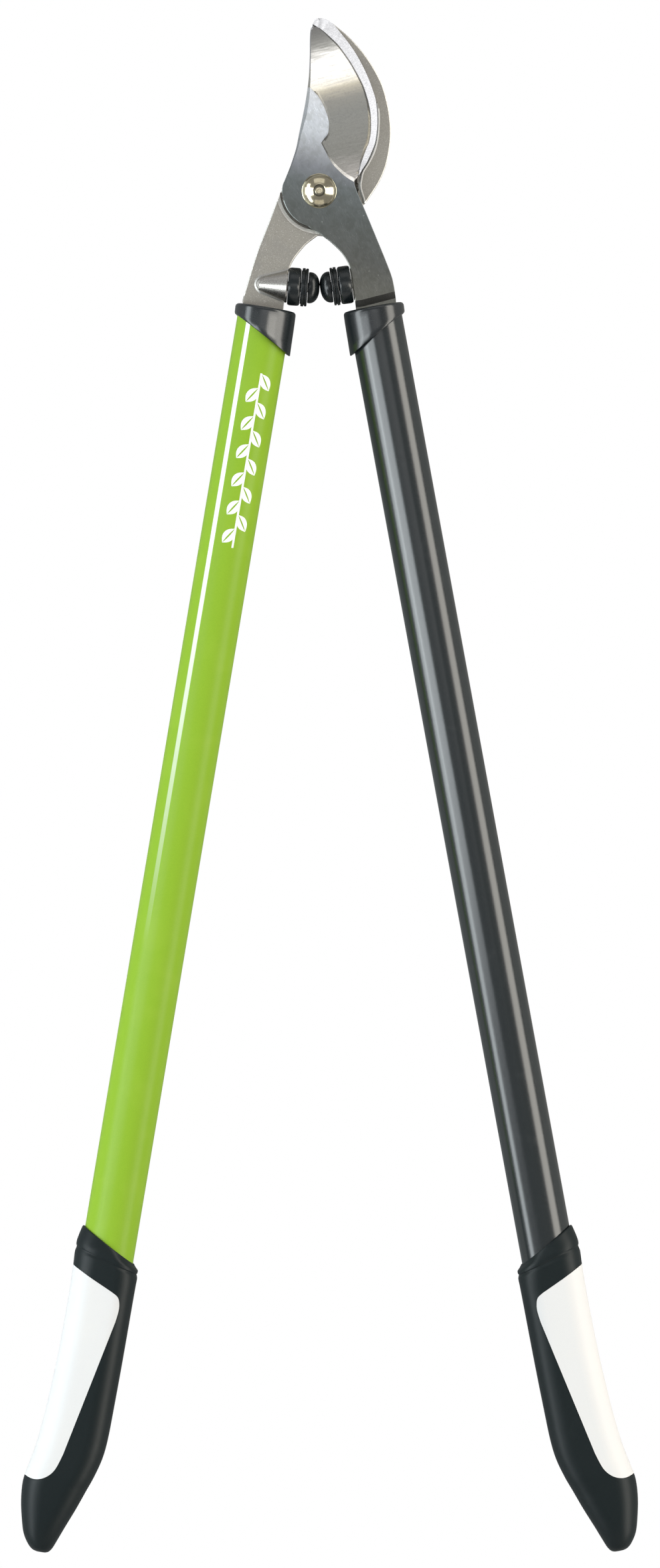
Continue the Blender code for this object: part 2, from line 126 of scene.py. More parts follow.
def isInside(points, outline):
    outline = np.array(outline)
    found = np.zeros(len(points), bool)
    x, y = points[:, 0], points[:, 1]
    for (ax, ay), (bx, by) in zip(outline, np.roll(outline, -1, axis=0)):
        if ay == by:
            continue
        crosses = (ay > y) != (by > y)
        found ^= crosses & (x < ax + (y - ay) * (bx - ax) / (by - ay))
    return found


def ease(values, low, high):
    u = np.clip((np.asarray(values, float) - low) / (high - low), 0, 1)
    return u * u * (3 - 2 * u)


def nearness(points, line, width):
    # 1 on the line, falling to 0 at the width
    return np.clip(1 - distanceTo(points, line)[0] / width, 0, 1)


def readRows(places, rows):
    return np.interp(places, *zip(*rows))


def alongHandle(points, handle):
    # how far down a tube's axis the points lie
    turn = math.radians(handle["side"] * handle["angle"])
    return points[:, 0] * math.sin(turn) - points[:, 1] * math.cos(turn)


def fromHandle(handle, outward, along, height=None):
    turn = math.radians(handle["side"] * handle["angle"])
    x, y = handle["side"] * (handle["offset"] + outward), -along
    flat = (x * math.cos(turn) - y * math.sin(turn), x * math.sin(turn) + y * math.cos(turn))
    return flat if height is None else (*flat, height)


def fromBumper(handle, along, across, height):
    turn = math.radians(handle["bumper"])
    x = along * math.cos(turn) - across * math.sin(turn)
    y = along * math.sin(turn) + across * math.cos(turn)
    return (bumperMeet[0] + x, bumperMeet[1] + y, height)


def toBumper(points, handle):
    turn = math.radians(handle["bumper"])
    x, y = points[:, 0] - bumperMeet[0], points[:, 1] - bumperMeet[1]
    return x * math.cos(turn) + y * math.sin(turn), y * math.cos(turn) - x * math.sin(turn)


# Meshes

def markSharp(mesh, sharp):
    mesh.shade_smooth()
    mesh.set_sharp_from_angle(angle=math.radians(sharp))


def cleanMesh(mesh, sharp=30):
    # doubled points joined, normals outwards
    form = bmesh.new()
    form.from_mesh(mesh)
    bmesh.ops.remove_doubles(form, verts=form.verts, dist=1e-7)
    bmesh.ops.recalc_face_normals(form, faces=form.faces)
    form.to_mesh(mesh)
    form.free()
    markSharp(mesh, sharp)


def makePiece(name, points, faces, material=None, sharp=30):
    mesh = bpy.data.meshes.new(name)
    mesh.from_pydata([tuple(pivot + Vector(p) * mm) for p in points], [], faces)
    cleanMesh(mesh, sharp)
    piece = bpy.data.objects.new(name, mesh)
    scene.collection.objects.link(piece)
    if material:
        mesh.materials.append(material)
    return piece


def makeBlock(name, spans, place):
    # a box between pairs of coordinates, set by place
    points = [place(a, b, c) for a in spans[0] for b in spans[1] for c in spans[2]]
    sides = [(0, 1, 3, 2), (4, 6, 7, 5), (0, 4, 5, 1), (2, 3, 7, 6), (0, 2, 6, 4), (1, 5, 7, 3)]
    return makePiece(name, points, sides)


def loft(name, rings, material=None, wrap=False, sharp=30):
    count = len(rings[0])
    pairs = [(i, i + 1) for i in range(len(rings) - 1)]
    if wrap:
        pairs.append((len(rings) - 1, 0))
    faces = [
        (a * count + i, a * count + (i + 1) % count, b * count + (i + 1) % count, b * count + i)
        for a, b in pairs
        for i in range(count)
    ]
    if not wrap:
        faces.append(tuple(range(count)))
        faces.append(tuple(range((len(rings) - 1) * count, len(rings) * count)))
    return makePiece(name, [p for ring in rings for p in ring], faces, material, sharp)


def turned(name, profile, place, material=None, sides=96, wrap=False, sharp=30):
    # a profile of (place along the axis, radius), set by place(along, across, up)
    rings = [[place(a, *polar(r, 360 * i / sides)) for i in range(sides)] for a, r in profile]
    return loft(name, rings, material, wrap, sharp)


def upright(along, across, up):
    return (across, up, along)


def combine(piece, others, operation):
    # Boolean with each of the others, which are then removed
    for other in others:
        modifier = piece.modifiers.new("cut", "BOOLEAN")
        modifier.operation = operation
        modifier.solver = "EXACT"
        modifier.object = other
        settle(piece)
        bpy.data.objects.remove(other)
def settle(piece, sharp=None):
    # the evaluated shape becomes the piece's own mesh
    graph = bpy.context.evaluated_depsgraph_get()
    graph.update()
    mesh = bpy.data.meshes.new_from_object(piece.evaluated_get(graph))
    piece.modifiers.clear()
    piece.data = mesh
    if sharp:
        markSharp(mesh, sharp)


def relief(name, outline, creases, top, bottom, spacing, sharp=16):
    # a plate whose two faces have heights given by functions of place, with exact crease lines
    step = spacing * 0.7
    loops = [evenSteps(list(outline) + [outline[0]], step)[:-1]]
    loops += [evenSteps(line, step) for line in creases]
    coords, edges = [], []
    for number, line in enumerate(loops):
        first = len(coords)
        coords += [tuple(p) for p in line]
        edges += [(first + i, first + i + 1) for i in range(len(line) - 1)]
        if number == 0:
            edges.append((first + len(line) - 1, first))
    fixed = np.array(coords)
    low, high = fixed.min(0), fixed.max(0)
    rows = np.arange(low[1], high[1], spacing * 0.866)
    columns = np.arange(low[0], high[0], spacing)
    grid = np.array([(x + spacing * 0.5 * (j % 2), y) for j, y in enumerate(rows) for x in columns])
    grid = grid[isInside(grid, loops[0])]
    clear = np.full(len(grid), 1e9)
    for p in fixed:
        clear = np.minimum(clear, np.hypot(grid[:, 0] - p[0], grid[:, 1] - p[1]))
    coords += [tuple(p) for p in grid[clear > spacing * 0.6]]
    found = delaunay_2d_cdt([Vector(c) for c in coords], edges, [], 1, 0.01)
    flat = np.array([tuple(v) for v in found[0]])
    triangles = [tuple(f) for f in found[2]]
    count = len(flat)
    used = dict.fromkeys((a, b) for face in triangles for a, b in zip(face, face[1:] + face[:1]))
    walls = [(a, b, b + count, a + count) for a, b in used if (b, a) not in used]
    points = np.concatenate([np.c_[flat, top(flat)], np.c_[flat, bottom(flat)]])
    faces = triangles + [tuple(i + count for i in reversed(face)) for face in triangles]
    faces += [tuple(reversed(wall)) for wall in walls]
    return makePiece(name, points, faces, None, sharp)


# Node helpers, for materials and for Geometry Nodes

def addNode(tree, kind, links=None, **values):
    made = tree.nodes.new(kind)
    for key, value in values.items():
        setattr(made, key, value)
    for key, source in (links or {}).items():
        if isinstance(source, bpy.types.NodeSocket):
            tree.links.new(source, made.inputs[key])
        else:
            made.inputs[key].default_value = source
    return made


def addMath(tree, operation, *sources):
    return addNode(tree, "ShaderNodeMath", dict(enumerate(sources)), operation=operation).outputs[0]


# Materials, all on Object coordinates

def makeSurface(name, finish):
    # colour and shade mix by a stretched grain; patches add large soft stains or wear
    material = bpy.data.materials.new(name)
    material.use_nodes = True
    tree = material.node_tree
    shader = tree.nodes["Principled BSDF"]
    shader.inputs["Metallic"].default_value = finish.get("metallic", 0.0)
    shader.inputs["IOR"].default_value = finish.get("ior", 1.5)
    shader.inputs["Specular IOR Level"].default_value = finish.get("specular", 0.5)
    place = addNode(tree, "ShaderNodeTexCoord").outputs["Object"]

    def noise(source, scale, detail, distortion=0.0):
        inputs = {"Vector": source, "Scale": scale, "Detail": detail, "Distortion": distortion}
        return addNode(tree, "ShaderNodeTexNoise", inputs).outputs["Fac"]

    def spread(source, low, high, first=0.0, last=1.0):
        inputs = {"Value": source, "From Min": low, "From Max": high, "To Min": first, "To Max": last}
        return addNode(tree, "ShaderNodeMapRange", inputs).outputs["Result"]

    def mixed(factor, first, last, blend="MIX"):
        made = addNode(tree, "ShaderNodeMix", {0: factor}, data_type="RGBA", blend_type=blend)
        sockets = [s for s in made.inputs if s.type == "RGBA"]
        for socket, colour in zip(sockets, (first, last)):
            if isinstance(colour, tuple):
                socket.default_value = (*colour, 1.0)
            else:
                tree.links.new(colour, socket)
        return next(s for s in made.outputs if s.type == "RGBA")

    def axesFrom(degrees):
        # metres from the pivot, along turned axes
        turn = addNode(tree, "ShaderNodeMapping", {"Vector": place, "Location": pivot}, vector_type="TEXTURE")
        turn.inputs["Rotation"].default_value[2] = math.radians(degrees)
        return addNode(tree, "ShaderNodeSeparateXYZ", {0: turn.outputs[0]}).outputs

    stretch = finish.get("stretch", (1.0, 1.0, 1.0))
    mapping = addNode(tree, "ShaderNodeMapping", {"Vector": place, "Scale": stretch}, vector_type="TEXTURE")
    mapping.inputs["Rotation"].default_value[2] = math.radians(finish.get("turn", 0.0))
    grain = noise(mapping.outputs["Vector"], finish["grain"], 5.0)
    colour = mixed(spread(grain, 0.32, 0.68), finish["colour"], finish["shade"])
    if "patch" in finish:
        stain = noise(place, finish["patchScale"], 4.0, 0.6)
        colour = mixed(spread(stain, *finish.get("patchRange", (0.5, 0.75))), colour, finish["patch"])
    if "speck" in finish:
        dots = noise(place, finish["speckScale"], 2.0)
        colour = mixed(spread(dots, *finish["speckRange"]), colour, finish["speck"])
    if "reflectionBands" in finish:
        # painted reflections: the colour changes along the piece, rows of (place in mm, colour), with ragged
        # borders
        ragged = finish["ragged"] * mm
        where = addMath(tree, "MULTIPLY_ADD", grain, ragged, axesFrom(finish["bandTurn"])["Y"])
        rows = finish["reflectionBands"]
        low, high = rows[0][0], rows[-1][0]
        ramp = addNode(tree, "ShaderNodeValToRGB", {0: spread(where, low * mm, high * mm)})
        stops = ramp.color_ramp.elements
        while len(stops) < len(rows):
            stops.new(1.0)
        for stop, (at, tint) in zip(stops, rows):
            stop.position = (at - low) / (high - low)
            stop.color = (*tint, 1.0)
        colour = mixed(1.0, colour, ramp.outputs["Color"], "MULTIPLY")
    if "stripe" in finish:
        # a printed stripe on the tube's upper side; past the print, its fading tail towards the grip is a
        # painted highlight
        line, handle = finish["stripe"], handles["hook"]
        axes = axesFrom(handle["side"] * handle["angle"])
        centre = handle["side"] * (handle["offset"] + line["outward"]) * mm
        half = line["width"] / 2 * mm
        away = addMath(tree, "ABSOLUTE", addMath(tree, "SUBTRACT", axes["X"], centre))
        factor = spread(away, half, half * 0.85)
        highlightFade = spread(axes["Y"], -line["end"] * mm, -line["highlightFade"] * mm)
        for other in (highlightFade, spread(axes["Z"], 0.0, mm)):
            factor = addMath(tree, "MULTIPLY", factor, other)
        colour = mixed(factor, colour, line["colour"])
    tree.links.new(colour, shader.inputs["Base Color"])
    tree.links.new(spread(grain, 0.3, 0.7, *finish["roughness"]), shader.inputs["Roughness"])
    inputs = {"Height": grain, "Strength": finish["bump"], "Distance": finish["depth"] * mm}
    tree.links.new(addNode(tree, "ShaderNodeBump", inputs).outputs["Normal"], shader.inputs["Normal"])
    return material


# the stripe is print up to its fade start, then a painted highlight that fades out by its end
stripe = {"outward": 7.5, "width": 2.4, "highlightFade": 190.0, "end": 400.0, "colour": (0.93, 0.95, 0.88)}

finishes = {
    "plateSteel": dict(
        colour=(1.0, 1.0, 1.0), shade=(0.84, 0.84, 0.84), metallic=1.0,
        roughness=(0.26, 0.38), grain=1100.0, stretch=(0.35, 2.4, 1.0), turn=24.0,
        patch=(0.80, 0.80, 0.78), patchScale=260.0, patchRange=(0.45, 0.65),
        bump=0.35, depth=0.03, speck=(1.6, 1.6, 1.6), speckScale=420.0,
        speckRange=(0.735, 0.76), bandTurn=-12.0, ragged=9.0,
        # painted reflection bands: dark on the arm, near white towards the tip
        reflectionBands=[
            (-60.0, (0.19, 0.19, 0.17)), (-42.0, (0.21, 0.21, 0.185)), (-26.0, (0.165, 0.17, 0.158)),
            (-6.0, (0.17, 0.185, 0.178)), (8.0, (0.21, 0.232, 0.232)), (16.0, (0.32, 0.335, 0.36)),
            (24.0, (0.50, 0.52, 0.545)), (34.0, (0.80, 0.84, 0.88)), (46.0, (0.90, 0.94, 0.98)),
            (60.0, (0.98, 0.99, 1.0)),
        ],
    ),
    "hollowSteel": dict(
        colour=(0.86, 0.85, 0.83), shade=(0.80, 0.79, 0.76), metallic=1.0,
        roughness=(0.12, 0.2), grain=500.0, stretch=(4.0, 0.4, 1.0), turn=15.0,
        bump=0.2, depth=0.02, patch=(0.76, 0.75, 0.73), patchScale=1100.0,
        patchRange=(0.5, 0.66), bandTurn=15.0, ragged=5.0,
        # painted reflection bands along the hollow-ground face, near white short of the tip
        reflectionBands=[
            (0.0, (0.9, 0.86, 0.84)), (8.0, (0.62, 0.60, 0.57)), (18.0, (0.40, 0.40, 0.375)),
            (38.0, (0.34, 0.345, 0.33)), (46.0, (0.38, 0.375, 0.35)), (52.5, (0.66, 0.62, 0.52)),
            (58.5, (0.94, 0.92, 0.89)), (69.0, (0.90, 0.89, 0.87)), (74.5, (0.34, 0.34, 0.325)),
            (90.0, (0.24, 0.24, 0.24)),
        ],
    ),
    "bevelSteel": dict(
        colour=(0.66, 0.66, 0.67), shade=(0.50, 0.50, 0.51), metallic=1.0,
        roughness=(0.22, 0.34), grain=1500.0, stretch=(2.2, 0.35, 1.0), turn=20.0,
        bump=0.3, depth=0.02,
    ),
    # painted shade on the sloping step in front of the collar
    "stepShadeSteel": dict(
        colour=(0.30, 0.29, 0.265), shade=(0.22, 0.21, 0.19), metallic=1.0,
        roughness=(0.45, 0.6), grain=1400.0, bump=0.3, depth=0.03,
    ),
    "hookSteel": dict(
        colour=(0.46, 0.435, 0.385), shade=(0.36, 0.34, 0.30), metallic=1.0,
        roughness=(0.42, 0.58), grain=2400.0, bump=0.55, depth=0.05,
        speck=(0.72, 0.70, 0.66), speckScale=2100.0, speckRange=(0.62, 0.72),
        patch=(0.36, 0.345, 0.32), patchScale=45.0, patchRange=(0.55, 0.8),
    ),
    # painted highlight, for the pocket's shoulder and a band each side of the ledge
    "hookHighlight": dict(
        colour=(1.0, 0.97, 0.91), shade=(0.86, 0.83, 0.76), metallic=1.0,
        roughness=(0.36, 0.5), grain=1800.0, bump=0.3, depth=0.03,
    ),
    "rimSteel": dict(
        colour=(0.52, 0.51, 0.48), shade=(0.40, 0.39, 0.365), metallic=1.0,
        roughness=(0.4, 0.52), grain=1800.0, bump=0.3, depth=0.03,
    ),
    "bossSteel": dict(
        colour=(0.62, 0.60, 0.56), shade=(0.50, 0.48, 0.45), metallic=1.0,
        roughness=(0.24, 0.34), grain=2000.0, bump=0.4, depth=0.04,
    ),
    # painted shade inside the pivot's pocket, beside the blade's heel
    "pocketShadeSteel": dict(
        colour=(0.20, 0.18, 0.15), shade=(0.10, 0.09, 0.075), metallic=1.0,
        roughness=(0.4, 0.6), grain=1200.0, bump=0.4, depth=0.05,
    ),
    "boltNickel": dict(
        colour=(0.66, 0.60, 0.44), shade=(0.58, 0.52, 0.36), metallic=1.0,
        roughness=(0.12, 0.19), grain=700.0, bump=0.06, depth=0.01,
        patch=(0.36, 0.32, 0.22), patchScale=260.0, patchRange=(0.62, 0.8),
    ),
    # painted shade in the ring round the socket's pin
    "boltGrooveShade": dict(
        colour=(0.20, 0.19, 0.15), shade=(0.13, 0.12, 0.09), metallic=1.0,
        roughness=(0.3, 0.45), grain=900.0, bump=0.2, depth=0.02,
    ),
    "zincPlate": dict(
        colour=(0.70, 0.71, 0.73), shade=(0.58, 0.60, 0.62), metallic=1.0,
        roughness=(0.24, 0.4), grain=1300.0, stretch=(1.0, 1.0, 3.0),
        bump=0.3, depth=0.02, patch=(0.66, 0.63, 0.52), patchScale=180.0,
    ),
    "nylonWhite": dict(
        colour=(0.84, 0.84, 0.80), shade=(0.78, 0.78, 0.74), roughness=(0.4, 0.52),
        grain=900.0, bump=0.2, depth=0.02,
    ),
    "bumperRubber": dict(
        colour=(0.004, 0.006, 0.007), shade=(0.007, 0.010, 0.011), roughness=(0.22, 0.32),
        grain=1500.0, bump=0.12, depth=0.02, patch=(0.016, 0.019, 0.020),
        patchScale=300.0, patchRange=(0.62, 0.85),
    ),
    "collarPlastic": dict(
        colour=(0.008, 0.011, 0.012), shade=(0.012, 0.015, 0.017), roughness=(0.2, 0.28),
        grain=2600.0, bump=0.25, depth=0.02, patch=(0.022, 0.025, 0.028),
        patchScale=240.0, patchRange=(0.64, 0.86), ior=1.65,
    ),
    "innerPlastic": dict(
        colour=(0.07, 0.07, 0.07), shade=(0.09, 0.09, 0.09), roughness=(0.45, 0.6),
        grain=1200.0, bump=0.3, depth=0.03,
    ),
    "blackPaint": dict(
        colour=(0.008, 0.012, 0.013), shade=(0.011, 0.016, 0.017), roughness=(0.19, 0.25),
        grain=1700.0, bump=0.08, depth=0.02, ior=1.7, patch=(0.022, 0.027, 0.028),
        patchScale=90.0, patchRange=(0.6, 0.9),
    ),
    "greenPaint": dict(
        colour=(0.255, 0.43, 0.030), shade=(0.236, 0.413, 0.027), roughness=(0.3, 0.38),
        grain=1700.0, bump=0.1, depth=0.02, patch=(0.272, 0.445, 0.038), specular=0.16,
        patchScale=40.0, patchRange=(0.5, 0.8), stripe=stripe,
    ),
    "printWhite": dict(
        colour=(0.90, 0.91, 0.88), shade=(0.86, 0.88, 0.84), roughness=(0.32, 0.42),
        grain=1500.0, bump=0.1, depth=0.01,
    ),
    "gripBlack": dict(
        colour=(0.003, 0.0075, 0.0085), shade=(0.005, 0.010, 0.011), roughness=(0.4, 0.52),
        grain=2600.0, bump=0.4, depth=0.03, patch=(0.009, 0.014, 0.0145), specular=0.28,
        patchScale=70.0, patchRange=(0.6, 0.9),
    ),
    "inlayWhite": dict(
        colour=(0.715, 0.715, 0.71), shade=(0.695, 0.695, 0.69), roughness=(0.45, 0.58),
        grain=2600.0, bump=0.3, depth=0.03, patch=(0.725, 0.72, 0.70),
        patchScale=30.0, patchRange=(0.5, 0.8),
    ),
}
surfaces = {name: makeSurface(name, finish) for name, finish in finishes.items()}
print("materials made:", len(surfaces))


def finishPiece(piece, label, slot, *nodes):
    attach(piece, bodyOf[label])
    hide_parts(*nodes)


# Shapes that both forged pieces share: the tang in a handle's frame, the bores, the arm's rim and
# the wide end of the cone that carries the bumper

tang = {"half": 2.4, "inner": -8.8, "outer": 10.0, "end": 104.0, "neckInner": -9.1, "neckOuter": 12.1,
        "collar": 64.4}
bores = {"pivot": 4.3, "screw": 2.8, "stud": (15.0, 27.5), "rivet": 73.5, "reach": 20.0, "sides": 32}
arms = {"rimSlope": 0.65, "boss": [(16.8, 8.2), (17.0, 8.6), (17.5, 8.7)]}


def tangOutline(handle):
    # from the outer side of the arm round the tang's end to the inner side
    rows = [
        (tang["neckOuter"], tang["collar"] - 0.4),
        (tang["neckOuter"], tang["collar"] + 1.2),
        (tang["outer"], tang["collar"] + 2.2),
        (tang["outer"], tang["end"]),
        (tang["inner"], tang["end"]),
        (tang["inner"], tang["collar"] + 2.2),
        (tang["neckInner"], tang["collar"] + 1.6),
        (tang["neckInner"], tang["collar"] - 0.4),
    ]
    return [fromHandle(handle, s, t) for s, t in rows]


def paintRegions(piece, kinds, names):
    # one of the named finishes for each face, by its centre in plan and whether it faces up
    mesh = piece.data
    mesh.materials.clear()
    for name in names:
        mesh.materials.append(surfaces[name])
    centres, normals = np.zeros(len(mesh.polygons) * 3), np.zeros(len(mesh.polygons) * 3)
    mesh.polygons.foreach_get("center", centres)
    mesh.polygons.foreach_get("normal", normals)
    centres = (centres.reshape(-1, 3) - np.array(pivot)) / mm
    found = kinds(centres[:, :2], normals.reshape(-1, 3)[:, 2] > 0.2, centres[:, 2])
    mesh.polygons.foreach_set("material_index", found.astype(np.int32))


def boreCutters(handle):
    # holes for the bolt, the bumper's stud and the tang's rivet
    reach, screw, sides = bores["reach"], bores["screw"], bores["sides"]

    def acrossTang(along, outward, down):
        return fromHandle(handle, outward, bores["rivet"] + down, along)

    return [
        turned("boltBore", [(-reach, bores["pivot"]), (reach, bores["pivot"])], upright, sides=64),
        turned("studBore", [(a, screw) for a in bores["stud"]], partial(fromBumper, handle), sides=sides),
        turned("rivetBore", [(-reach, screw), (reach, screw)], acrossTang, sides=sides),
    ]


# Hook: the blunt lower jaw with its arm

hook = {
    "back": -6.15, "front": -0.15, "pocket": -1.2, "armFront": 2.6, "pocketRadius": 20.2, "wall": 0.3,
    "pocketTurns": (168.0, 283.0), "jawGap": 0.8, "shoulder": 2.1, "shoulderWidth": 1.8, "rim": 0.45,
    "tangRim": 0.15, "backRim": 0.7, "ledgeDrop": 0.6, "ledgeWidth": 1.0, "jawHighlight": 0.6, "weld": 0.9,
    "weldHeight": 0.4, "spacing": 1.0, "boss": [(29.0, 5.1), (31.6, 4.2), (32.9, 3.0), (33.5, 1.2)],
}


def hookOutline():
    inner = smooth([(7.0, 81.4), (11.5, 76.0), (20.0, 64.0), (26.5, 52.0), (28.8, 40.0), (27.0, 28.5),
                    (21.5, 20.6), (12.5, 17.2)], 5)
    hubTop = arc(18.5, 66, 168, 24)
    armOuter = smooth([(-19.6, 1.5), (-20.4, -1.0), (-23.2, -8.0), (-26.2, -16.0), (-29.8, -25.0),
                       (-32.8, -33.0), (-36.5, -45.0), (-38.0, -50.0), (-39.8, -56.0), (-40.0, -57.8)], 4)
    armInner = smooth([(-18.8, -61.6), (-17.6, -52.0), (-15.7, -41.0), (-13.0, -35.0), (-8.0, -28.7),
                       (-5.0, -26.0), (-0.8, -22.9)], 4)
    hubBottom = arc(23.2, -86, -20, 16)
    outer = smooth([(23.8, -6.2), (26.0, -3.2), (31.5, 5.5), (35.2, 15.0), (37.2, 27.0), (37.0, 37.0),
                    (35.3, 47.0), (32.0, 57.5), (25.0, 69.5), (16.0, 80.0), (6.9, 87.6)], 5)
    return inner + hubTop + armOuter + tangOutline(handles["hook"]) + armInner + hubBottom + outer


def makeHook():
    handle = handles["hook"]
    outline = hookOutline()
    loop = outline + [outline[0]]
    radius = hook["pocketRadius"]
    wallTop = radius + hook["wall"]
    shoulderEnd = wallTop + hook["shoulderWidth"]
    ledge = smooth([(30.4, 46.0), (31.0, 40.0), (30.9, 34.0), (30.4, 28.0), (28.8, 21.3), (25.8, 15.0),
                    (23.0, 10.6), (22.0, 7.0), (21.5, 3.0), (22.0, 0.0), (23.0, -3.0), (24.2, -7.4)], 5)

    # a rounded weld runs round the cone that carries the bumper
    cone = [(16.8, -8.3), (29.0, -4.5), (31.4, -3.5), (32.8, -1.8), (33.3, 0.0),
            (32.8, 1.8), (31.4, 3.5), (29.0, 4.5), (16.8, 8.3)]
    coneLine = np.array([fromBumper(handle, a, x, 0.0)[:2] for a, x in smooth(cone, 4)])

    # the jaw outside the ledge line keeps its full height
    jaw = np.array(ledge + [(60.0, -10.0), (60.0, 100.0), (-20.0, 100.0), (-20.0, 46.0)])

    def top(points):
        x, y = points[:, 0], points[:, 1]
        away = np.hypot(x, y)
        turn = np.degrees(np.arctan2(y, x)) % 360
        along = alongHandle(points, handle)
        first, last = hook["pocketTurns"]
        onArm = (turn > first - 3) & (turn < last + 8) & (y < 2.0)
        steps = [(radius, hook["pocket"]), (wallTop, hook["shoulder"]), (shoulderEnd, hook["armFront"])]
        arm = np.where((y < -22.0) & (away > radius + 2.0), hook["armFront"], readRows(away, steps))
        arm = arm - (hook["armFront"] - tang["half"]) * ease(along, 58.0, 63.5)
        arm = arm + hook["weldHeight"] * nearness(points, coneLine, hook["weld"]) ** 2
        drop = hook["ledgeDrop"] * (1 - nearness(points, ledge, hook["ledgeWidth"]))
        level = hook["front"] - np.where(isInside(points, jaw), 0.0, drop)
        level = np.where(away < radius, np.minimum(level, hook["pocket"]), level)
        height = np.where(onArm & (x < 3.0), arm, level)
        height = np.where(~onArm & (away < radius - hook["jawGap"]), hook["pocket"], height)
        rim = np.where(along > 60.0, hook["tangRim"], hook["rim"])
        return height - arms["rimSlope"] * rim * nearness(points, loop, rim)

    def bottom(points):
        along = alongHandle(points, handle)
        thinned = np.clip((along - 32.0) / (tang["collar"] - 33.0), 0, 1) * (points[:, 1] < -15)
        rim = np.where(along > 60.0, hook["tangRim"], hook["backRim"])
        rise = rim * nearness(points, loop, rim)
        return hook["back"] - (hook["back"] + tang["half"]) * thinned + rise

    creases = [arc(r, *hook["pocketTurns"], 90) for r in (radius, wallTop, shoulderEnd)]
    creases += [ledge, offsetLeft(ledge, -hook["ledgeWidth"]), offsetLeft(ledge, hook["jawHighlight"])[1:-1]]
    creases += [coneLine[1:-1], offsetLeft(coneLine, -hook["weld"])[1:-1]]
    creases += [arc(radius - hook["jawGap"], -80, 160, 120)]
    creases += [insetLoop(outline, hook["rim"]), insetLoop(outline, hook["backRim"])]
    piece = relief("forgedHook", outline, creases, top, bottom, hook["spacing"])
    boss = turned("hookBoss", arms["boss"] + hook["boss"], partial(fromBumper, handle), sides=72)
    combine(piece, [boss], "UNION")
    combine(piece, boreCutters(handle), "DIFFERENCE")
    settle(piece, 22)

    def kinds(flat, up, level):
        away = np.hypot(flat[:, 0], flat[:, 1])
        # the pocket's shoulder and a band each side of the ledge get a painted highlight
        shoulder = (away > wallTop - 0.05) & (away < shoulderEnd + 0.05) & (flat[:, 1] < 2.0)
        toLedge, placeOnLedge = distanceTo(flat, ledge)
        highlightWidth = hook["jawHighlight"] * (placeOnLedge > 3.0)
        nearLedge = toLedge < np.where(isInside(flat, jaw), highlightWidth, hook["ledgeWidth"])
        onWeld = (distanceTo(flat, coneLine)[0] < hook["weld"]) & (level < hook["armFront"] + 0.7)
        edge = (distanceTo(flat, loop)[0] < hook["rim"]) & (alongHandle(flat, handle) < 63.0)
        found = np.where((shoulder & (flat[:, 0] < 0.0)) | nearLedge, 1, 0)
        found = np.where((edge | onWeld) & (found == 0), 4, found)
        # a band inside the pocket's wall gets painted shade
        inPocket = (away < radius) & (away > radius - 4.5) & (flat[:, 0] > 5.0)
        found = np.where(up, np.where(inPocket, 2, found), 0)
        reach, across = toBumper(flat, handle)
        coned = (np.abs(across) < 8.9 - 0.3 * np.clip(reach - 18.0, 0, 99)) & (reach > 16.0) & (reach < 34.0)
        onBoss = coned & ~onWeld & ((level > hook["armFront"] + 0.04) | (level < hook["back"] - 0.04))
        return np.where(onBoss, 3, found)

    paintRegions(piece, kinds, ("hookSteel", "hookHighlight", "pocketShadeSteel", "bossSteel", "rimSteel"))
    finishPiece(piece, "hook", "hook_steel", "hook_blade")


def insetLoop(outline, width):
    # a closed line drawn in by the width; points that would fold over are left out
    loop = np.array(evenSteps(outline + [outline[0]], 0.7)[:-1])
    along = np.roll(loop, -1, axis=0) - np.roll(loop, 1, axis=0)
    along /= np.linalg.norm(along, axis=1)[:, None] + 1e-12
    area = np.sum(loop[:, 0] * np.roll(loop[:, 1], -1) - np.roll(loop[:, 0], -1) * loop[:, 1])
    turn = 1.0 if area > 0 else -1.0
    moved = loop + np.stack([-along[:, 1], along[:, 0]], 1) * turn * width
    away, _ = distanceTo(moved, list(loop) + [loop[0]])
    return moved[(away > width * 0.93) & isInside(moved, loop)]


# Blade: the ground and polished cutting jaw with its arm

blade = {
    "back": 0.15, "front": 5.2, "land": 0.3, "bevelRise": 0.5, "hub": 18.2, "hubRim": 0.4, "hubBack": -0.9,
    "stepWidth": 3.4, "rim": 0.3, "spacing": 1.0, "streak": 15.0, "lip": 2.2, "lipWidth": 0.28,
    "bossTop": 4.4, "boss": [(29.8, 5.1), (32.2, 3.7), (33.4, 1.4)],
}
# level of the hollow-ground face along the jaw, from the pivot to the tip
hollowLevels = [(-10.0, 4.0), (0.0, 4.2), (8.0, 4.5), (16.0, 4.82), (24.0, 5.05), (32.0, 5.12),
                (48.0, 5.12), (53.0, 5.0), (58.0, 4.78), (66.0, 4.46), (73.0, 4.26), (78.0, 4.24),
                (84.0, 4.37), (95.0, 4.67)]
# width of the narrow facet between the bevel and the hollow face, by place along the jaw
facetWidths = [(8.0, 0.25), (14.0, 0.8), (24.0, 1.5), (38.0, 1.5), (50.0, 0.95), (62.0, 0.85), (80.0, 0.8),
               (87.0, 0.2)]
# the chamfer along the blade's back: narrow near the tip, broad and steep lower down
chamferWidths = [(-6.0, 0.3), (8.0, 0.4), (20.0, 0.75), (30.0, 1.2), (40.0, 1.9), (50.0, 1.6), (60.0, 0.9),
                 (66.0, 0.6), (83.0, 0.5), (86.0, 0.1), (88.0, 0.05)]
chamferRises = [(-6.0, 0.8), (8.0, 1.0), (20.0, 1.6), (40.0, 1.9), (58.0, 1.6), (64.0, 0.7), (88.0, 0.7)]


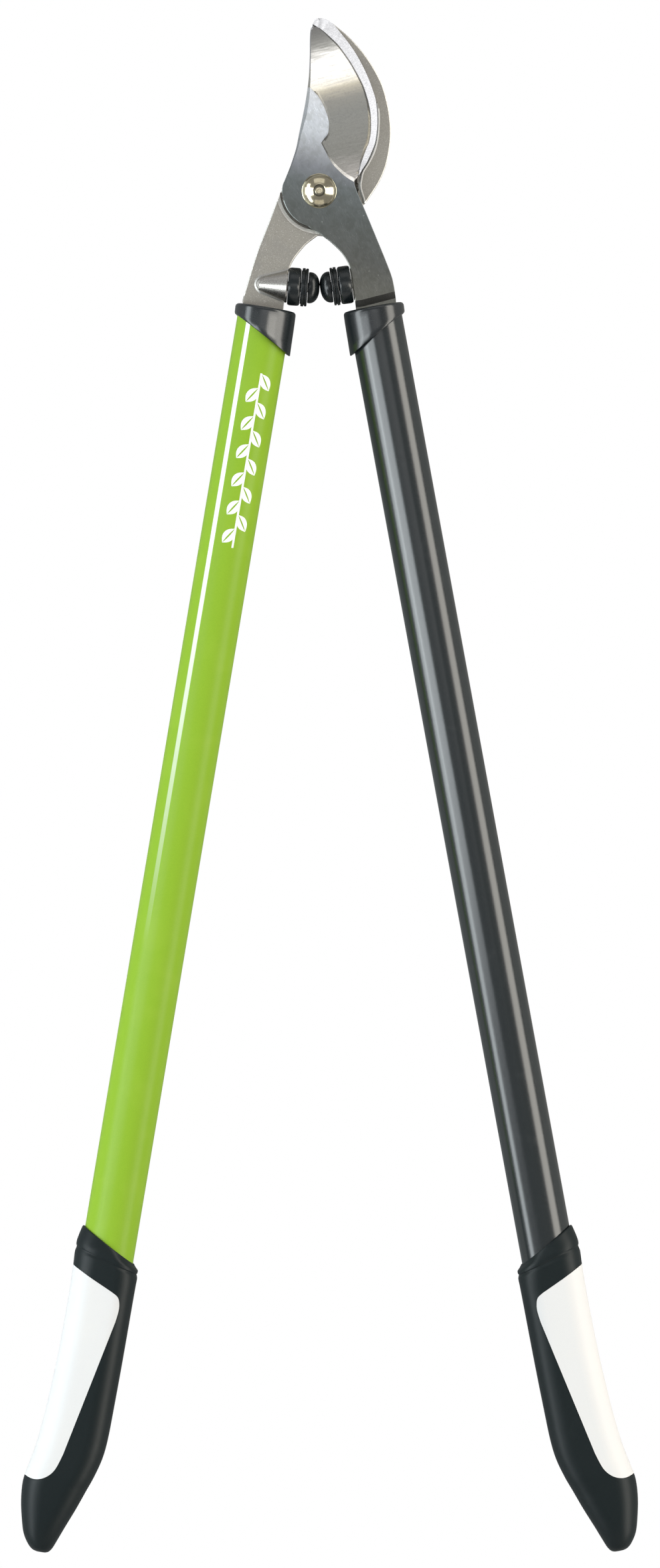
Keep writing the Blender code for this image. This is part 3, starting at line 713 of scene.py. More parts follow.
def bladeLines():
    back = smooth([(-2.2, 89.7), (-3.4, 87.0), (-4.6, 83.5), (-4.9, 78.0), (-4.95, 70.0), (-5.4, 60.0),
                   (-6.6, 50.0), (-8.4, 40.0), (-10.5, 30.0), (-12.1, 22.0), (-15.0, 13.0), (-17.0, 8.0)], 4)
    heel = arc(19.3, 171, 252, 40)
    armInner = smooth([(-4.4, -19.6), (-1.2, -21.2), (3.0, -24.3), (6.0, -26.6), (11.5, -32.0), (15.0, -37.5),
                       (16.7, -43.0), (17.8, -51.0), (18.8, -58.5), (19.1, -61.6)], 4)
    armOuter = smooth([(40.0, -57.8), (39.6, -54.0), (38.0, -45.5), (34.5, -36.0), (30.0, -25.0),
                       (24.0, -10.5), (20.5, -2.5), (18.6, 2.6), (18.3, 4.6), (19.2, 6.4), (20.5, 8.0)], 4)
    edge = smooth([(20.5, 8.0), (22.5, 11.5), (25.0, 15.5), (28.3, 23.0), (29.6, 28.0), (30.3, 36.0),
                   (29.9, 44.0), (28.8, 50.0), (24.5, 61.5), (18.0, 73.5), (10.0, 84.0), (6.5, 87.8),
                   (4.0, 89.5), (0.6, 90.25), (-2.2, 89.7)], 5)
    bevel = smooth([(20.5, 8.0), (21.7, 14.0), (24.5, 22.0), (25.8, 25.0), (26.8, 30.0), (27.0, 35.0),
                    (26.8, 40.0), (26.0, 45.0), (24.5, 50.5), (22.5, 56.0), (18.0, 64.5), (14.5, 70.0),
                    (10.0, 76.0), (6.0, 80.0), (2.0, 83.5), (-1.0, 85.6), (-3.4, 87.0)], 5)
    hollow = smooth([(-5.0, 54.0), (-3.0, 52.0), (0.0, 48.5), (3.0, 42.5), (4.8, 37.0), (5.0, 33.0),
                     (4.4, 29.6), (2.4, 27.0), (1.0, 25.0)], 5)
    hollow += smooth([(1.0, 25.0), (6.0, 15.4), (10.0, 10.7), (14.0, 7.2), (18.3, 4.6)], 4)[1:]
    return back, heel, armInner, armOuter, edge, bevel, hollow


def makeBlade():
    handle = handles["blade"]
    back, heel, armInner, armOuter, edge, bevel, hollow = bladeLines()
    outline = back + heel + armInner + tangOutline(handle)[-2:0:-1] + armOuter + edge[1:-1]
    innerSide = heel[8:] + armInner
    backLine = np.array(back + heel[:12])
    backPlaces = lengthsAlong(backLine)
    chamferWidth = readRows(backLine[:, 1], chamferWidths)
    chamferRise = readRows(backLine[:, 1], chamferRises)
    bevelLine = np.array(bevel)
    bevelPlaces = lengthsAlong(bevelLine)
    facetWidth = readRows(bevelLine[:, 1], facetWidths)
    # the bevel's slope is measured from the edge short of the tip's end
    sharpEdge = edge[:-4]
    bevelWidth, _ = distanceTo(bevelLine, sharpEdge)
    band = list(edge) + [(-12.0, 92.0), (-12.0, 88.0)] + list(bevelLine[::-1])
    ground = list(bevelLine) + [(-12.0, 88.0), (-12.0, 54.0)] + hollow
    # the step up from the hollow face to the plate grows towards the pivot
    hollowPlaces = lengthsAlong(hollow)
    ledgeWidth = np.interp(hollowPlaces, [0.0, hollowPlaces[-17], hollowPlaces[-1]], [0.35, 0.45, 1.9])
    stepLine = [(14.0, -57.8), (17.0, -57.4), (22.0, -56.8), (27.0, -55.5), (33.0, -54.0), (41.0, -51.9),
                (46.0, -50.6)]
    belowStep = stepLine + [(60.0, -120.0), (0.0, -120.0)]
    levels = np.array(smooth(hollowLevels, 6))
    streakTurn = math.radians(blade["streak"])

    def top(points):
        x, y = points[:, 0], points[:, 1]
        toEdge, _ = distanceTo(points, sharpEdge)
        toBevel, placeOnBevel = distanceTo(points, bevelLine)
        toHollow, placeOnHollow = distanceTo(points, hollow)
        inBand = isInside(points, band) | (distanceTo(points, edge)[0] < 0.03)
        inGround = isInside(points, ground) & ~inBand
        land = blade["back"] + blade["land"]
        atBevel = land + blade["bevelRise"] * np.interp(placeOnBevel, bevelPlaces, bevelWidth)
        streak = y * math.cos(streakTurn) - x * math.sin(streakTurn)
        floor = np.interp(streak, levels[:, 0], levels[:, 1])
        facet = np.clip(toBevel / np.interp(placeOnBevel, bevelPlaces, facetWidth), 0, 1)
        climb = 1 - np.clip(toHollow / np.interp(placeOnHollow, hollowPlaces, ledgeWidth), 0, 1)
        level = atBevel + (floor - atBevel) * facet
        level = level + (blade["front"] - level) * climb * ease(toBevel, 0.0, 1.0)
        level = np.where(inGround, level, blade["front"])
        height = np.where(inBand, land + blade["bevelRise"] * toEdge, level)
        # sloping step in front of the collar
        slope = 1 - nearness(points, stepLine, blade["stepWidth"])
        stepped = blade["front"] - (blade["front"] - tang["half"]) * slope
        height = np.where(isInside(points, belowStep), stepped, height)
        # the chamfer on the back, and the small rims along the arm
        toBack, placeOnBack = distanceTo(points, backLine)
        width = np.interp(placeOnBack, backPlaces, chamferWidth)
        rise = np.interp(placeOnBack, backPlaces, chamferRise)
        lip = blade["lip"] * np.clip(blade["lipWidth"] - toBack, 0, 1)
        lip = lip * ease(y, 52.0, 62.0) * (1 - ease(y, 80.0, 86.0))
        onBack = (toBack < width) & (toEdge > 0.5) & ~inBand
        height = height - np.where(onBack, (width - toBack) * rise + lip, 0.0)
        rim = np.maximum(nearness(points, innerSide, blade["rim"]), nearness(points, armOuter, blade["rim"]))
        onArm = alongHandle(points, handle) < 60.0
        return height - np.where(onArm, arms["rimSlope"] * blade["rim"] * rim, 0.0)

    def bottom(points):
        slope = np.clip((alongHandle(points, handle) - 41.0) / 17.0, 0, 1)
        height = blade["back"] - (blade["back"] + tang["half"]) * slope
        away = np.hypot(points[:, 0], points[:, 1])
        hub = np.clip((blade["hub"] + blade["hubRim"] - away) / blade["hubRim"], 0, 1)
        return height + (blade["hubBack"] - blade["back"]) * hub

    creases = [bevel[1:], offsetLeft(bevelLine, facetWidth)[3:-5]]
    creases += [offsetLeft(hollow, ledgeWidth)[1:-2], hollow, offsetLeft(backLine, chamferWidth)[1:]]
    creases += [stepLine, offsetLeft(stepLine, -blade["stepWidth"])]
    creases += [arc(r, 0, 360, 100) for r in (blade["hub"], blade["hub"] + blade["hubRim"])]
    creases += [offsetLeft(line, blade["rim"])[1:-1] for line in (innerSide, armOuter)]
    piece = relief("forgedBlade", outline, creases, top, bottom, blade["spacing"])
    boss = turned("bladeBoss", arms["boss"] + blade["boss"], partial(fromBumper, handle), sides=72)
    above = ((-80.0, 80.0), (-90.0, 0.0), (blade["bossTop"], 20.0))
    combine(boss, [makeBlock("bossTrim", above, lambda x, y, z: (x, y, z))], "DIFFERENCE")
    combine(piece, [boss], "UNION")
    combine(piece, boreCutters(handle), "DIFFERENCE")
    settle(piece, 16)

    def kinds(flat, up, level):
        # the sloping step in front of the collar gets painted shade
        onStep = isInside(flat, belowStep) & (level > tang["half"] + 0.03)
        bright = distanceTo(flat, backLine)[0] < readRows(flat[:, 1], [(60.0, 0.1), (66.0, 0.6)])
        found = np.where(isInside(flat, ground), 1, 0)
        found = np.where(isInside(flat, band) | bright, 2, np.where(onStep, 3, found))
        return np.where(up, found, 0)

    paintRegions(piece, kinds, ("plateSteel", "hollowSteel", "bevelSteel", "stepShadeSteel"))
    finishPiece(piece, "blade", "blade_steel", "cutting_blade")


makeHook()
makeBlade()
print("forged pieces made")


# Pivot: bolt, washer, nut and its nylon ring

bolt = {"head": 8.8, "rise": 4.25, "flange": 9.05, "under": 5.5, "shank": 4.0, "socket": 3.15,
        "socketDepth": 1.1, "pin": 2.1, "ball": 10.94, "ballDrop": 6.15, "domeTurns": (53.5, 19.2)}
nut = {"width": 13.0, "top": -8.25, "bottom": -14.75, "washer": 8.5, "washerTop": -6.45, "washerThick": 1.5,
       "clearance": 0.3, "sides": 144}


def makePivot():
    under, top = bolt["under"], bolt["under"] + bolt["rise"]
    shank, flange, socket, pin = bolt["shank"], bolt["flange"], bolt["socket"], bolt["pin"]
    # a spherical dome, flat around the socket
    ballCentre = (under - bolt["ballDrop"], 0.0)
    dome = [polar(bolt["ball"], a, ballCentre) for a in np.linspace(*bolt["domeTurns"], 22)]
    bottom, floor = nut["bottom"], top - bolt["socketDepth"]
    profile = [(bottom - 0.5, 3.0), (bottom - 0.4, 3.4), (bottom + 0.2, shank), (under, shank),
               (under, flange - 0.2), (under + 0.12, flange), (under + 0.3, flange - 0.05),
               (under + 0.38, bolt["head"] + 0.05)]
    profile += dome
    profile += [(top, socket + 0.3), (top - 0.1, socket), (floor, socket - 0.25), (floor + 0.1, pin),
                (floor + 0.25, pin - 0.35), (floor + 0.2, 0.9), (floor, 0.7), (floor, 0.2)]
    piece = turned("pivotBoltHead", profile, upright, surfaces["boltNickel"], 128, sharp=40)

    def kinds(flat, up, level):
        away = np.hypot(flat[:, 0], flat[:, 1])
        # the ring between the socket's wall and its pin gets painted shade
        return np.where((away > pin - 0.05) & (away < socket) & (level > under + 1.0), 1, 0)

    paintRegions(piece, kinds, ("boltNickel", "boltGrooveShade"))
    finishPiece(piece, "hook", "bolt_nickel", "pivot_bolt")
    bore, wide = shank + nut["clearance"], nut["washer"]
    high, low = nut["washerTop"], nut["washerTop"] - nut["washerThick"]
    rows = [(low, wide - 0.25), (low + 0.25, wide), (high - 0.25, wide), (high, wide - 0.25), (high, bore),
            (low, bore)]
    washer = turned("pivotWasherRing", rows, upright, surfaces["zincPlate"], 96, True)
    finishPiece(washer, "hook", "zinc_plate", "pivot_washer")

    turns = [360 * i / nut["sides"] for i in range(nut["sides"])]

    def hexRing(place, trim):
        flats = [nut["width"] / 2 / math.cos(math.radians((a + 30) % 60 - 30)) for a in turns]
        return [(*polar(min(flat, trim), a), place) for flat, a in zip(flats, turns)]

    high, low = nut["top"], nut["bottom"]
    rings = [hexRing(*row) for row in ((high, 6.7), (high - 0.5, 7.6), (low + 1.6, 7.6), (low + 1.1, 6.8),
                                       (low + 0.9, 6.3), (low + 0.25, 6.1))]
    rows = ((low, 5.95), (low, 5.8), (low + 0.2, 5.7), (low + 1.8, 5.7), (low + 1.8, bore), (high, bore))
    rings += [[(*polar(radius, a), place) for a in turns] for place, radius in rows]
    hexNut = loft("pivotHexNut", rings, surfaces["zincPlate"], True, 24)
    finishPiece(hexNut, "hook", "zinc_plate", "pivot_nut")
    rows = [(low, 5.2), (low + 0.2, 5.4), (low + 1.5, 5.4), (low + 1.5, bore), (low + 0.15, bore),
            (low, bore + 0.2)]
    ring = turned("nutNylonRing", rows, upright, surfaces["nylonWhite"], 72, True)
    finishPiece(ring, "hook", "white_nylon", "nut_locking_ring")


# Bumpers: a rounded base, a double flange and a dome on each side

bumper = {"bore": 2.8, "dome": 8.15, "flange": 10.05, "base": 9.9}


def makeBumper(label):
    bore, ball, wide, base = bumper["bore"], bumper["dome"], bumper["flange"], bumper["base"]
    dome = [(0.12 + 5.0 * (1 - math.cos(math.radians(a))), ball * math.sin(math.radians(a)) ** 0.82)
            for a in range(8, 91, 6)]
    dome += [(5.7, ball), (6.05, ball - 0.15), (6.15, ball - 0.5), (6.15, bore), (3.4, bore)]
    flange = [(6.35, bore), (6.35, wide - 0.55), (6.45, wide - 0.3), (6.65, wide - 0.15), (7.45, wide - 0.15),
              (7.65, wide - 0.3), (7.72, wide - 0.75), (7.95, wide - 0.75), (8.02, wide - 0.2), (8.2, wide),
              (9.3, wide - 0.05), (9.55, wide - 0.25), (9.62, wide - 1.3), (9.95, wide - 1.35), (9.95, bore)]
    seat = [(10.1, bore), (10.1, base - 1.4), (10.2, base - 0.8), (10.5, base - 0.35), (11.1, base - 0.05),
            (12.0, base), (14.9, base), (15.7, base - 0.1), (16.3, base - 0.35), (16.5, base - 0.75),
            (16.6, base - 1.2), (16.6, bore)]
    place = partial(fromBumper, handles[label])
    for name, rows, part in (("Dome", dome, "cap"), ("Flange", flange, "flange"), ("Base", seat, "base")):
        hollow = part != "cap"
        piece = turned(f"{label}Bumper{name}", rows, place, surfaces["bumperRubber"], 96, hollow)
        finishPiece(piece, label, "bumper_rubber", f"{label}_bumper_{part}")


# Collars: a moulded cap over the end of each tube, cut at a slope below

collar = {"top": 64.4, "gap": 0.3, "roof": 3.3, "edge": 78.5, "slope": 0.55, "bore": 14.2, "sides": 128}


def makeCollar(label):
    handle = handles[label]
    top, edge, slope, bore = collar["top"], collar["edge"], collar["slope"], collar["bore"]
    # distance along, radius, slope of the ring's plane, shift outwards
    rows = [
        (top + collar["roof"], bore, 0.0, 0.0), (edge - 0.5, bore, slope, 0.0),
        (edge, bore + 0.25, slope, -0.1), (edge, 15.6, slope, -0.4), (edge - 0.25, 15.95, slope, -0.5),
        (edge - 0.7, 16.1, slope, -0.5), (edge - 3.0, 16.05, slope * 0.75, -0.42),
        (top + 4.2, 15.98, slope * 0.2, -0.25),
    ]
    roof = [(2.0, 15.92), (1.3, 15.85), (0.75, 15.6), (0.35, 15.2), (0.1, 14.7), (0.0, 14.1)]
    rows += [(top + along, radius, 0.0, -0.15) for along, radius in roof]
    rings = []
    for along, radius, lean, shift in rows:
        circle = [polar(radius, 360 * i / collar["sides"], (shift, 0.0)) for i in range(collar["sides"])]
        rings.append([fromHandle(handle, s, along - lean * s, z) for s, z in circle])
    piece = loft(f"{label}Collar", rings, surfaces["collarPlastic"])
    gap, half = collar["gap"], tang["half"] + collar["gap"]
    spans = ((tang["neckInner"] - gap, tang["neckOuter"] + gap), (60.0, 69.0), (-half, half))
    combine(piece, [makeBlock("collarSlot", spans, partial(fromHandle, handle))], "DIFFERENCE")
    settle(piece, 30)
    finishPiece(piece, label, "black_plastic", f"{label}_handle_collar")


# Geometry Nodes trees

def newTree(name, inputs):
    tree = bpy.data.node_groups.new(name, "GeometryNodeTree")
    for label, kind, value in inputs:
        socket = tree.interface.new_socket(label, in_out="INPUT", socket_type="NodeSocket" + kind)
        if value is not None:
            socket.default_value = value
    tree.interface.new_socket("Geometry", in_out="OUTPUT", socket_type="NodeSocketGeometry")
    given = tree.nodes.new("NodeGroupInput").outputs
    return tree, given, partial(addNode, tree), partial(addMath, tree)


def endTree(tree, given, shape):
    # the shape as one mesh, with the given finish
    realized = addNode(tree, "GeometryNodeRealizeInstances", {0: shape})
    painted = addNode(tree, "GeometryNodeSetMaterial", {0: realized.outputs[0], "Material": given["Surface"]})
    addNode(tree, "NodeGroupOutput", {0: painted.outputs[0]})
    return tree


def grow(name, tree, values, place):
    # the tree's result as a plain mesh, put in place by a matrix
    holder = bpy.data.objects.new(name, bpy.data.meshes.new(name))
    scene.collection.objects.link(holder)
    modifier = holder.modifiers.new("grow", "NODES")
    modifier.node_group = tree
    for item in tree.interface.items_tree:
        if item.in_out == "INPUT" and item.name in values:
            modifier[item.identifier] = values[item.name]
    settle(holder)
    holder.data.transform(place)
    cleanMesh(holder.data)
    return holder


def handleMatrix(handle):
    # local X runs down the tube's axis, Y outwards, Z up; the origin is level with the pivot
    foot, down, out = (Vector(fromHandle(handle, *p, 0.0)) for p in ((0.0, 0.0), (0.0, 1.0), (1.0, 0.0)))
    turn = Matrix((down - foot, out - foot, Vector((0, 0, 1)))).transposed().to_4x4()
    return Matrix.Translation(pivot + foot * mm) @ turn


# Tubes: a rounded wall section swept round a circle

tube = {"radius": 13.9, "wall": 1.4, "start": 68.3, "end": 658.0, "sides": 128, "round": 0.4}


def tubeTree():
    tree, given, add, calc = newTree("sweptTube", [
        ("Radius", "Float", 0.014), ("Wall", "Float", 0.001), ("Length", "Float", 0.6), ("Sides", "Int", 96),
        ("Edge", "Float", 0.0003), ("Surface", "Material", None)])
    middle = calc("MULTIPLY_ADD", given["Wall"], -0.5, given["Radius"])
    path = add("GeometryNodeCurvePrimitiveCircle", {"Resolution": given["Sides"], "Radius": middle})
    size = {"Width": given["Wall"], "Height": given["Length"]}
    section = add("GeometryNodeCurvePrimitiveQuadrilateral", size)
    rounding = {"Curve": section.outputs[0], "Radius": given["Edge"]}
    fillet = add("GeometryNodeFilletCurve", rounding, mode="POLY")
    swept = add("GeometryNodeCurveToMesh", {"Curve": path.outputs[0], "Profile Curve": fillet.outputs[0]})
    return endTree(tree, given, swept.outputs[0])


def makeTube(label, tree, paint):
    start, end = tube["start"], tube["end"]
    values = {"Radius": tube["radius"] * mm, "Wall": tube["wall"] * mm, "Length": (end - start) * mm,
              "Sides": tube["sides"], "Edge": tube["round"] * mm, "Surface": surfaces[paint]}
    middle = Matrix.Translation(((start + end) / 2 * mm, 0, 0))
    sweptAxis = Matrix.Rotation(math.radians(90), 4, "Y")
    piece = grow(f"{label}Tube", tree, values, handleMatrix(handles[label]) @ middle @ sweptAxis)
    finishPiece(piece, label, "green_paint" if label == "hook" else "black_paint", f"{label}_handle_tube")


# Sprig: a printed stem with leaves, wrapped round the green tube

sprig = {"start": 99.0, "length": 92.0, "outward": -3.6, "leaves": 12, "leafLength": 9.6, "leafWidth": 5.8,
         "lean": 34.0, "stem": 1.1, "film": 0.08, "margin": 3.0}


def sprigTree():
    tree, given, add, calc = newTree("leafSprig", [
        ("Length", "Float", 0.09), ("Leaves", "Int", 9), ("Leaf Length", "Float", 0.01),
        ("Leaf Width", "Float", 0.004), ("Lean", "Float", 0.7), ("Stem", "Float", 0.001),
        ("Film", "Float", 0.0001), ("Radius", "Float", 0.014), ("Margin", "Float", 0.003),
        ("Surface", "Material", None)])

    def position():
        return add("ShaderNodeSeparateXYZ", {0: add("GeometryNodeInputPosition").outputs[0]}).outputs

    def vector(**parts):
        return add("ShaderNodeCombineXYZ", parts).outputs[0]

    # one leaf: a grid drawn in to a point at each end and split along its middle
    grid = add("GeometryNodeMeshGrid", {"Size X": 1.0, "Size Y": 1.0, "Vertices X": 17, "Vertices Y": 8})
    split = position()
    bow = calc("POWER", calc("ABSOLUTE", calc("MULTIPLY", split["X"], 2.0)), 2.2)
    half = calc("MAXIMUM", calc("SUBTRACT", 1.0, bow), 0.05)
    across = calc("MULTIPLY", calc("MULTIPLY", split["Y"], half), given["Leaf Width"])
    along = calc("MULTIPLY", calc("ADD", split["X"], 0.56), given["Leaf Length"])
    strip = calc("LESS_THAN", calc("ABSOLUTE", split["Y"]), 0.02)
    cut = add("GeometryNodeDeleteGeometry", {0: grid.outputs[0], "Selection": strip}, domain="FACE")
    leaf = add("GeometryNodeSetPosition", {0: cut.outputs[0], "Position": vector(X=along, Y=across)})
    # leaves on alternate sides of the stem
    spaced = calc("DIVIDE", calc("SUBTRACT", given["Length"], given["Margin"]), given["Leaves"])
    line = add("GeometryNodeMeshLine", {"Count": given["Leaves"], "Offset": vector(X=spaced)})
    index = add("GeometryNodeInputIndex").outputs[0]
    side = calc("MULTIPLY_ADD", calc("MODULO", index, 2.0), 2.0, -1.0)
    placed = add("GeometryNodeInstanceOnPoints", {
        "Points": line.outputs[0], "Instance": leaf.outputs[0],
        "Rotation": vector(Z=calc("MULTIPLY", side, given["Lean"]))})
    leaves = add("GeometryNodeRealizeInstances", {0: placed.outputs[0]})
    stem = add("GeometryNodeMeshGrid", {
        "Size X": given["Length"], "Size Y": given["Stem"], "Vertices X": 40, "Vertices Y": 3})
    shift = vector(X=calc("MULTIPLY", given["Length"], 0.5))
    moved = add("GeometryNodeTransform", {0: stem.outputs[0], "Translation": shift})
    flat = add("GeometryNodeJoinGeometry")
    tree.links.new(leaves.outputs[0], flat.inputs[0])
    tree.links.new(moved.outputs[0], flat.inputs[0])
    # the film's thickness, then the wrap round the tube
    film = {"Mesh": flat.outputs[0], "Offset Scale": given["Film"], "Individual": False}
    raised = add("GeometryNodeExtrudeMesh", film, mode="FACES")
    under = add("GeometryNodeFlipFaces", {"Mesh": flat.outputs[0]})
    closed = add("GeometryNodeJoinGeometry")
    tree.links.new(raised.outputs[0], closed.inputs[0])
    tree.links.new(under.outputs[0], closed.inputs[0])
    merged = add("GeometryNodeMergeByDistance", {0: closed.outputs[0], "Distance": 1e-6})
    where = position()
    angle = calc("DIVIDE", where["Y"], given["Radius"])
    reach = calc("ADD", where["Z"], given["Radius"])
    sideways, up = (calc("MULTIPLY", calc(wave, angle), reach) for wave in ("SINE", "COSINE"))
    place = vector(X=where["X"], Y=sideways, Z=up)
    wrapped = add("GeometryNodeSetPosition", {0: merged.outputs[0], "Position": place})
    return endTree(tree, given, wrapped.outputs[0])


def makeSprig():
    length, film = sprig["length"] * mm, sprig["film"]
    values = {"Length": length, "Leaves": sprig["leaves"], "Leaf Length": sprig["leafLength"] * mm,
              "Leaf Width": sprig["leafWidth"] * mm, "Lean": math.radians(sprig["lean"]),
              "Stem": sprig["stem"] * mm, "Film": film * mm, "Radius": (tube["radius"] - film / 2) * mm,
              "Margin": sprig["margin"] * mm, "Surface": surfaces["printWhite"]}
    place = Matrix.Translation((sprig["start"] * mm, 0, 0))
    roll = Matrix.Rotation(-math.asin(sprig["outward"] / tube["radius"]), 4, "X")
    piece = grow("tubeSprig", sprigTree(), values, handleMatrix(handles["hook"]) @ place @ roll)
    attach(piece, "hook_side")


# Grips: rounded sections down each handle, with a pale inlay on the outer side

# distance along, reach inwards, reach outwards, half depth, corner radius, lean of the section
gripSections = [
    (559.6, 14.6, 14.7, 14.7, 14.6, 0.54), (560.6, 15.4, 15.4, 15.3, 15.2, 0.52),
    (564.6, 16.9, 16.8, 16.2, 13.2, 0.34), (566.6, 17.0, 16.9, 16.3, 12.6, 0.30),
    (567.6, 16.6, 16.5, 15.85, 12.1, 0.29), (568.9, 17.0, 16.8, 16.15, 12.2, 0.27),
    (570.6, 17.3, 17.0, 16.3, 12.2, 0.25), (577.0, 17.2, 16.6, 16.3, 11.5, 0.13),
    (590.0, 17.1, 16.4, 16.3, 11.5, 0.0), (620.0, 16.9, 16.8, 16.3, 11.5, 0.0),
    (645.0, 16.5, 18.1, 16.3, 11.5, 0.0), (660.0, 16.1, 19.4, 16.3, 11.5, 0.0),
    (670.0, 15.0, 20.7, 16.3, 11.5, 0.0), (680.0, 12.3, 22.7, 16.3, 11.5, 0.0),
    (688.0, 9.4, 24.0, 15.8, 11.5, 0.0), (698.0, 5.8, 23.3, 15.0, 11.0, 0.0),
    (708.0, 1.8, 21.2, 13.8, 10.0, 0.0), (715.0, -0.9, 19.1, 12.0, 8.5, 0.0),
    (720.0, -2.9, 16.0, 9.5, 6.5, 0.0), (722.4, -4.6, 13.4, 6.8, 4.6, 0.0),
    (723.2, -6.2, 11.2, 4.0, 2.6, 0.0),
]
grip = {"grooveDepth": 0.08, "cornerSteps": 14, "bore": 14.2, "boreSides": 96, "boreSpan": (530.0, 660.3)}
inlay = {
    "thickness": 1.0, "gap": 0.28, "bed": 0.3,
    "top": [(30.0, 566.0), (16.5, 572.4), (5.0, 578.0)],
    "corner": [(-6.0, 583.0), (-9.6, 585.6), (-10.9, 591.0), (-10.2, 598.0)],
    "foot": [(5.3, 670.5), (8.2, 679.0), (12.5, 683.8), (18.0, 685.7), (23.5, 684.6), (30.0, 682.0)],
}


def gripLoft(name, handle, inset, material=None):
    rings = []
    deepest = max(row[3] for row in gripSections) - grip["grooveDepth"]
    for along, inner, outer, depth, corner, lean in smooth(gripSections, 4):
        centre, half = (outer - inner) / 2, (outer + inner) / 2 - inset
        halfDepth = min(depth, deepest) - inset
        radius = min(corner, half, halfDepth)
        ring = []
        for quarter, (across, up) in enumerate(((1, 1), (-1, 1), (-1, -1), (1, -1))):
            middle = (centre + across * (half - radius), up * (halfDepth - radius))
            start = 90 * quarter
            for outward, height in arc(radius, start, start + 90, grip["cornerSteps"], middle):
                ring.append(fromHandle(handle, outward, along + handle["shift"] - lean * outward, height))
        rings.append(ring)
    return loft(name, rings, material)


def inlayPrism(handle, margin):
    outline = inlay["top"] + smooth(inlay["corner"], 6) + smooth(inlay["foot"], 5)
    moved = offsetLeft(outline, margin)
    rows = [[fromHandle(handle, s, t + handle["shift"], z) for s, t in moved] for z in (-25.0, 25.0)]
    return loft("inlayPrism", rows)


def makeGrip(label):
    handle = handles[label]
    black = gripLoft(f"{label}Grip", handle, 0.0, surfaces["gripBlack"])
    recess = inlayPrism(handle, inlay["gap"] / 2)
    combine(recess, [gripLoft("gripCore", handle, inlay["thickness"] + inlay["bed"])], "DIFFERENCE")
    circle = [polar(grip["bore"], 360 * i / grip["boreSides"]) for i in range(grip["boreSides"])]
    bore = loft("gripBore", [[fromHandle(handle, s, t, z) for s, z in circle] for t in grip["boreSpan"]])
    combine(black, [recess, bore], "DIFFERENCE")
    settle(black, 28)
    finishPiece(black, label, "grip_black", f"{label}_handle_grip")
    pale = gripLoft(f"{label}GripInlay", handle, 0.0, surfaces["inlayWhite"])
    combine(pale, [inlayPrism(handle, -inlay["gap"] / 2)], "INTERSECT")
    combine(pale, [gripLoft("inlayCore", handle, inlay["thickness"])], "DIFFERENCE")
    settle(pale, 28)
    finishPiece(pale, label, "inlay_white", f"{label}_handle_grip_inlay")


makePivot()
sweptTube = tubeTree()
for label in handles:
    makeBumper(label)
    makeCollar(label)
    makeTube(label, sweptTube, "greenPaint" if label == "hook" else "blackPaint")
    makeGrip(label)
makeSprig()
print("pivot, bumpers, tubes and grips made")

# CAD pieces that stay in view keep their shape and get a full finish
carried = {"bumper_stud": "zincPlate", "handle_tang_sleeve": "innerPlastic", "handle_tang_rivet": "zincPlate",
           "handle_tube_plug": "innerPlastic"}
for label in handles:
    for part, finish in carried.items():
        mesh = frame["nodes"][f"{label}_{part}"].data
        mesh.materials.clear()
        mesh.materials.append(surfaces[finish])


# Floor, light and camera

studio = {"distance": 6.0, "field": 0.8173, "centre": (0.0003, 0.0007), "world": 0.30, "floor": 0.4,
          "floorHalf": 6.0, "floorLevel": -0.0002}
cool, warm, plain = (0.90, 0.97, 1.0), (1.0, 0.96, 0.88), (1.0, 1.0, 1.0)
# panel: centre, the point it faces, its width and height, its level and its colour
panels = {
    "leftPanel": ((-1.1, -0.05, 0.5), (0, 0.0, 0.0), (2.4, 0.4), 5.2, cool),
    "rightPanel": ((1.08, 0.15, 0.54), (0, 0.15, 0.0), (2.8, 0.62), 4.4, warm),
    "bladeSide": ((1.05, 0.35, 0.66), (0, 0.35, 0.0), (1.8, 0.6), 1.6, plain),
    "leftTop": ((-1.1, -0.05, 1.2), (0, 0.2, 0), (0.5, 1.1), 5.4, cool),
    "rightTop": ((0.9, 0.1, 1.5), (0, 0.24, 0), (0.5, 1.1), 7.0, warm),
    "headTop": ((0.0, 0.6, 3.1), (0, 0.375, 0), (2.0, 0.9), 0.6, plain),
    "farPanel": ((0.0, 2.6, 1.3), (0, 0.3, 0), (2.4, 1.4), 0.6, plain),
    "nearPanel": ((0.0, -2.4, 1.3), (0, 0.3, 0), (2.4, 1.4), 0.45, warm),
    "tipStrip": ((0.0, 0.77, 3.0), (0, 0.375, 0), (1.0, 0.21), 1.3, plain),
    "boltLeft": ((-0.9, 0.33, 0.55), (0, 0.31, 0), (0.6, 1.0), 3.6, plain),
    "boltRight": ((0.9, 0.33, 0.55), (0, 0.31, 0), (0.6, 1.0), 3.6, plain),
    "tipPanel": ((0.7, 1.7, 1.2), (0, 0.4, 0), (1.2, 0.9), 1.15, plain),
}
# a panel named here lights only these pieces, or with EXCLUDE all but these
linked = {
    "rightPanel": ("EXCLUDE", ["forgedBlade", "pivotBoltHead"]),
    "bladeSide": ("INCLUDE", ["forgedBlade"]),
    "rightTop": ("INCLUDE", ["hookCollar", "hookBumperBase", "bladeBumperBase"]),
    "boltLeft": ("INCLUDE", ["pivotBoltHead"]),
    "boltRight": ("INCLUDE", ["pivotBoltHead"]),
    "tipPanel": ("INCLUDE", ["forgedBlade"]),
}


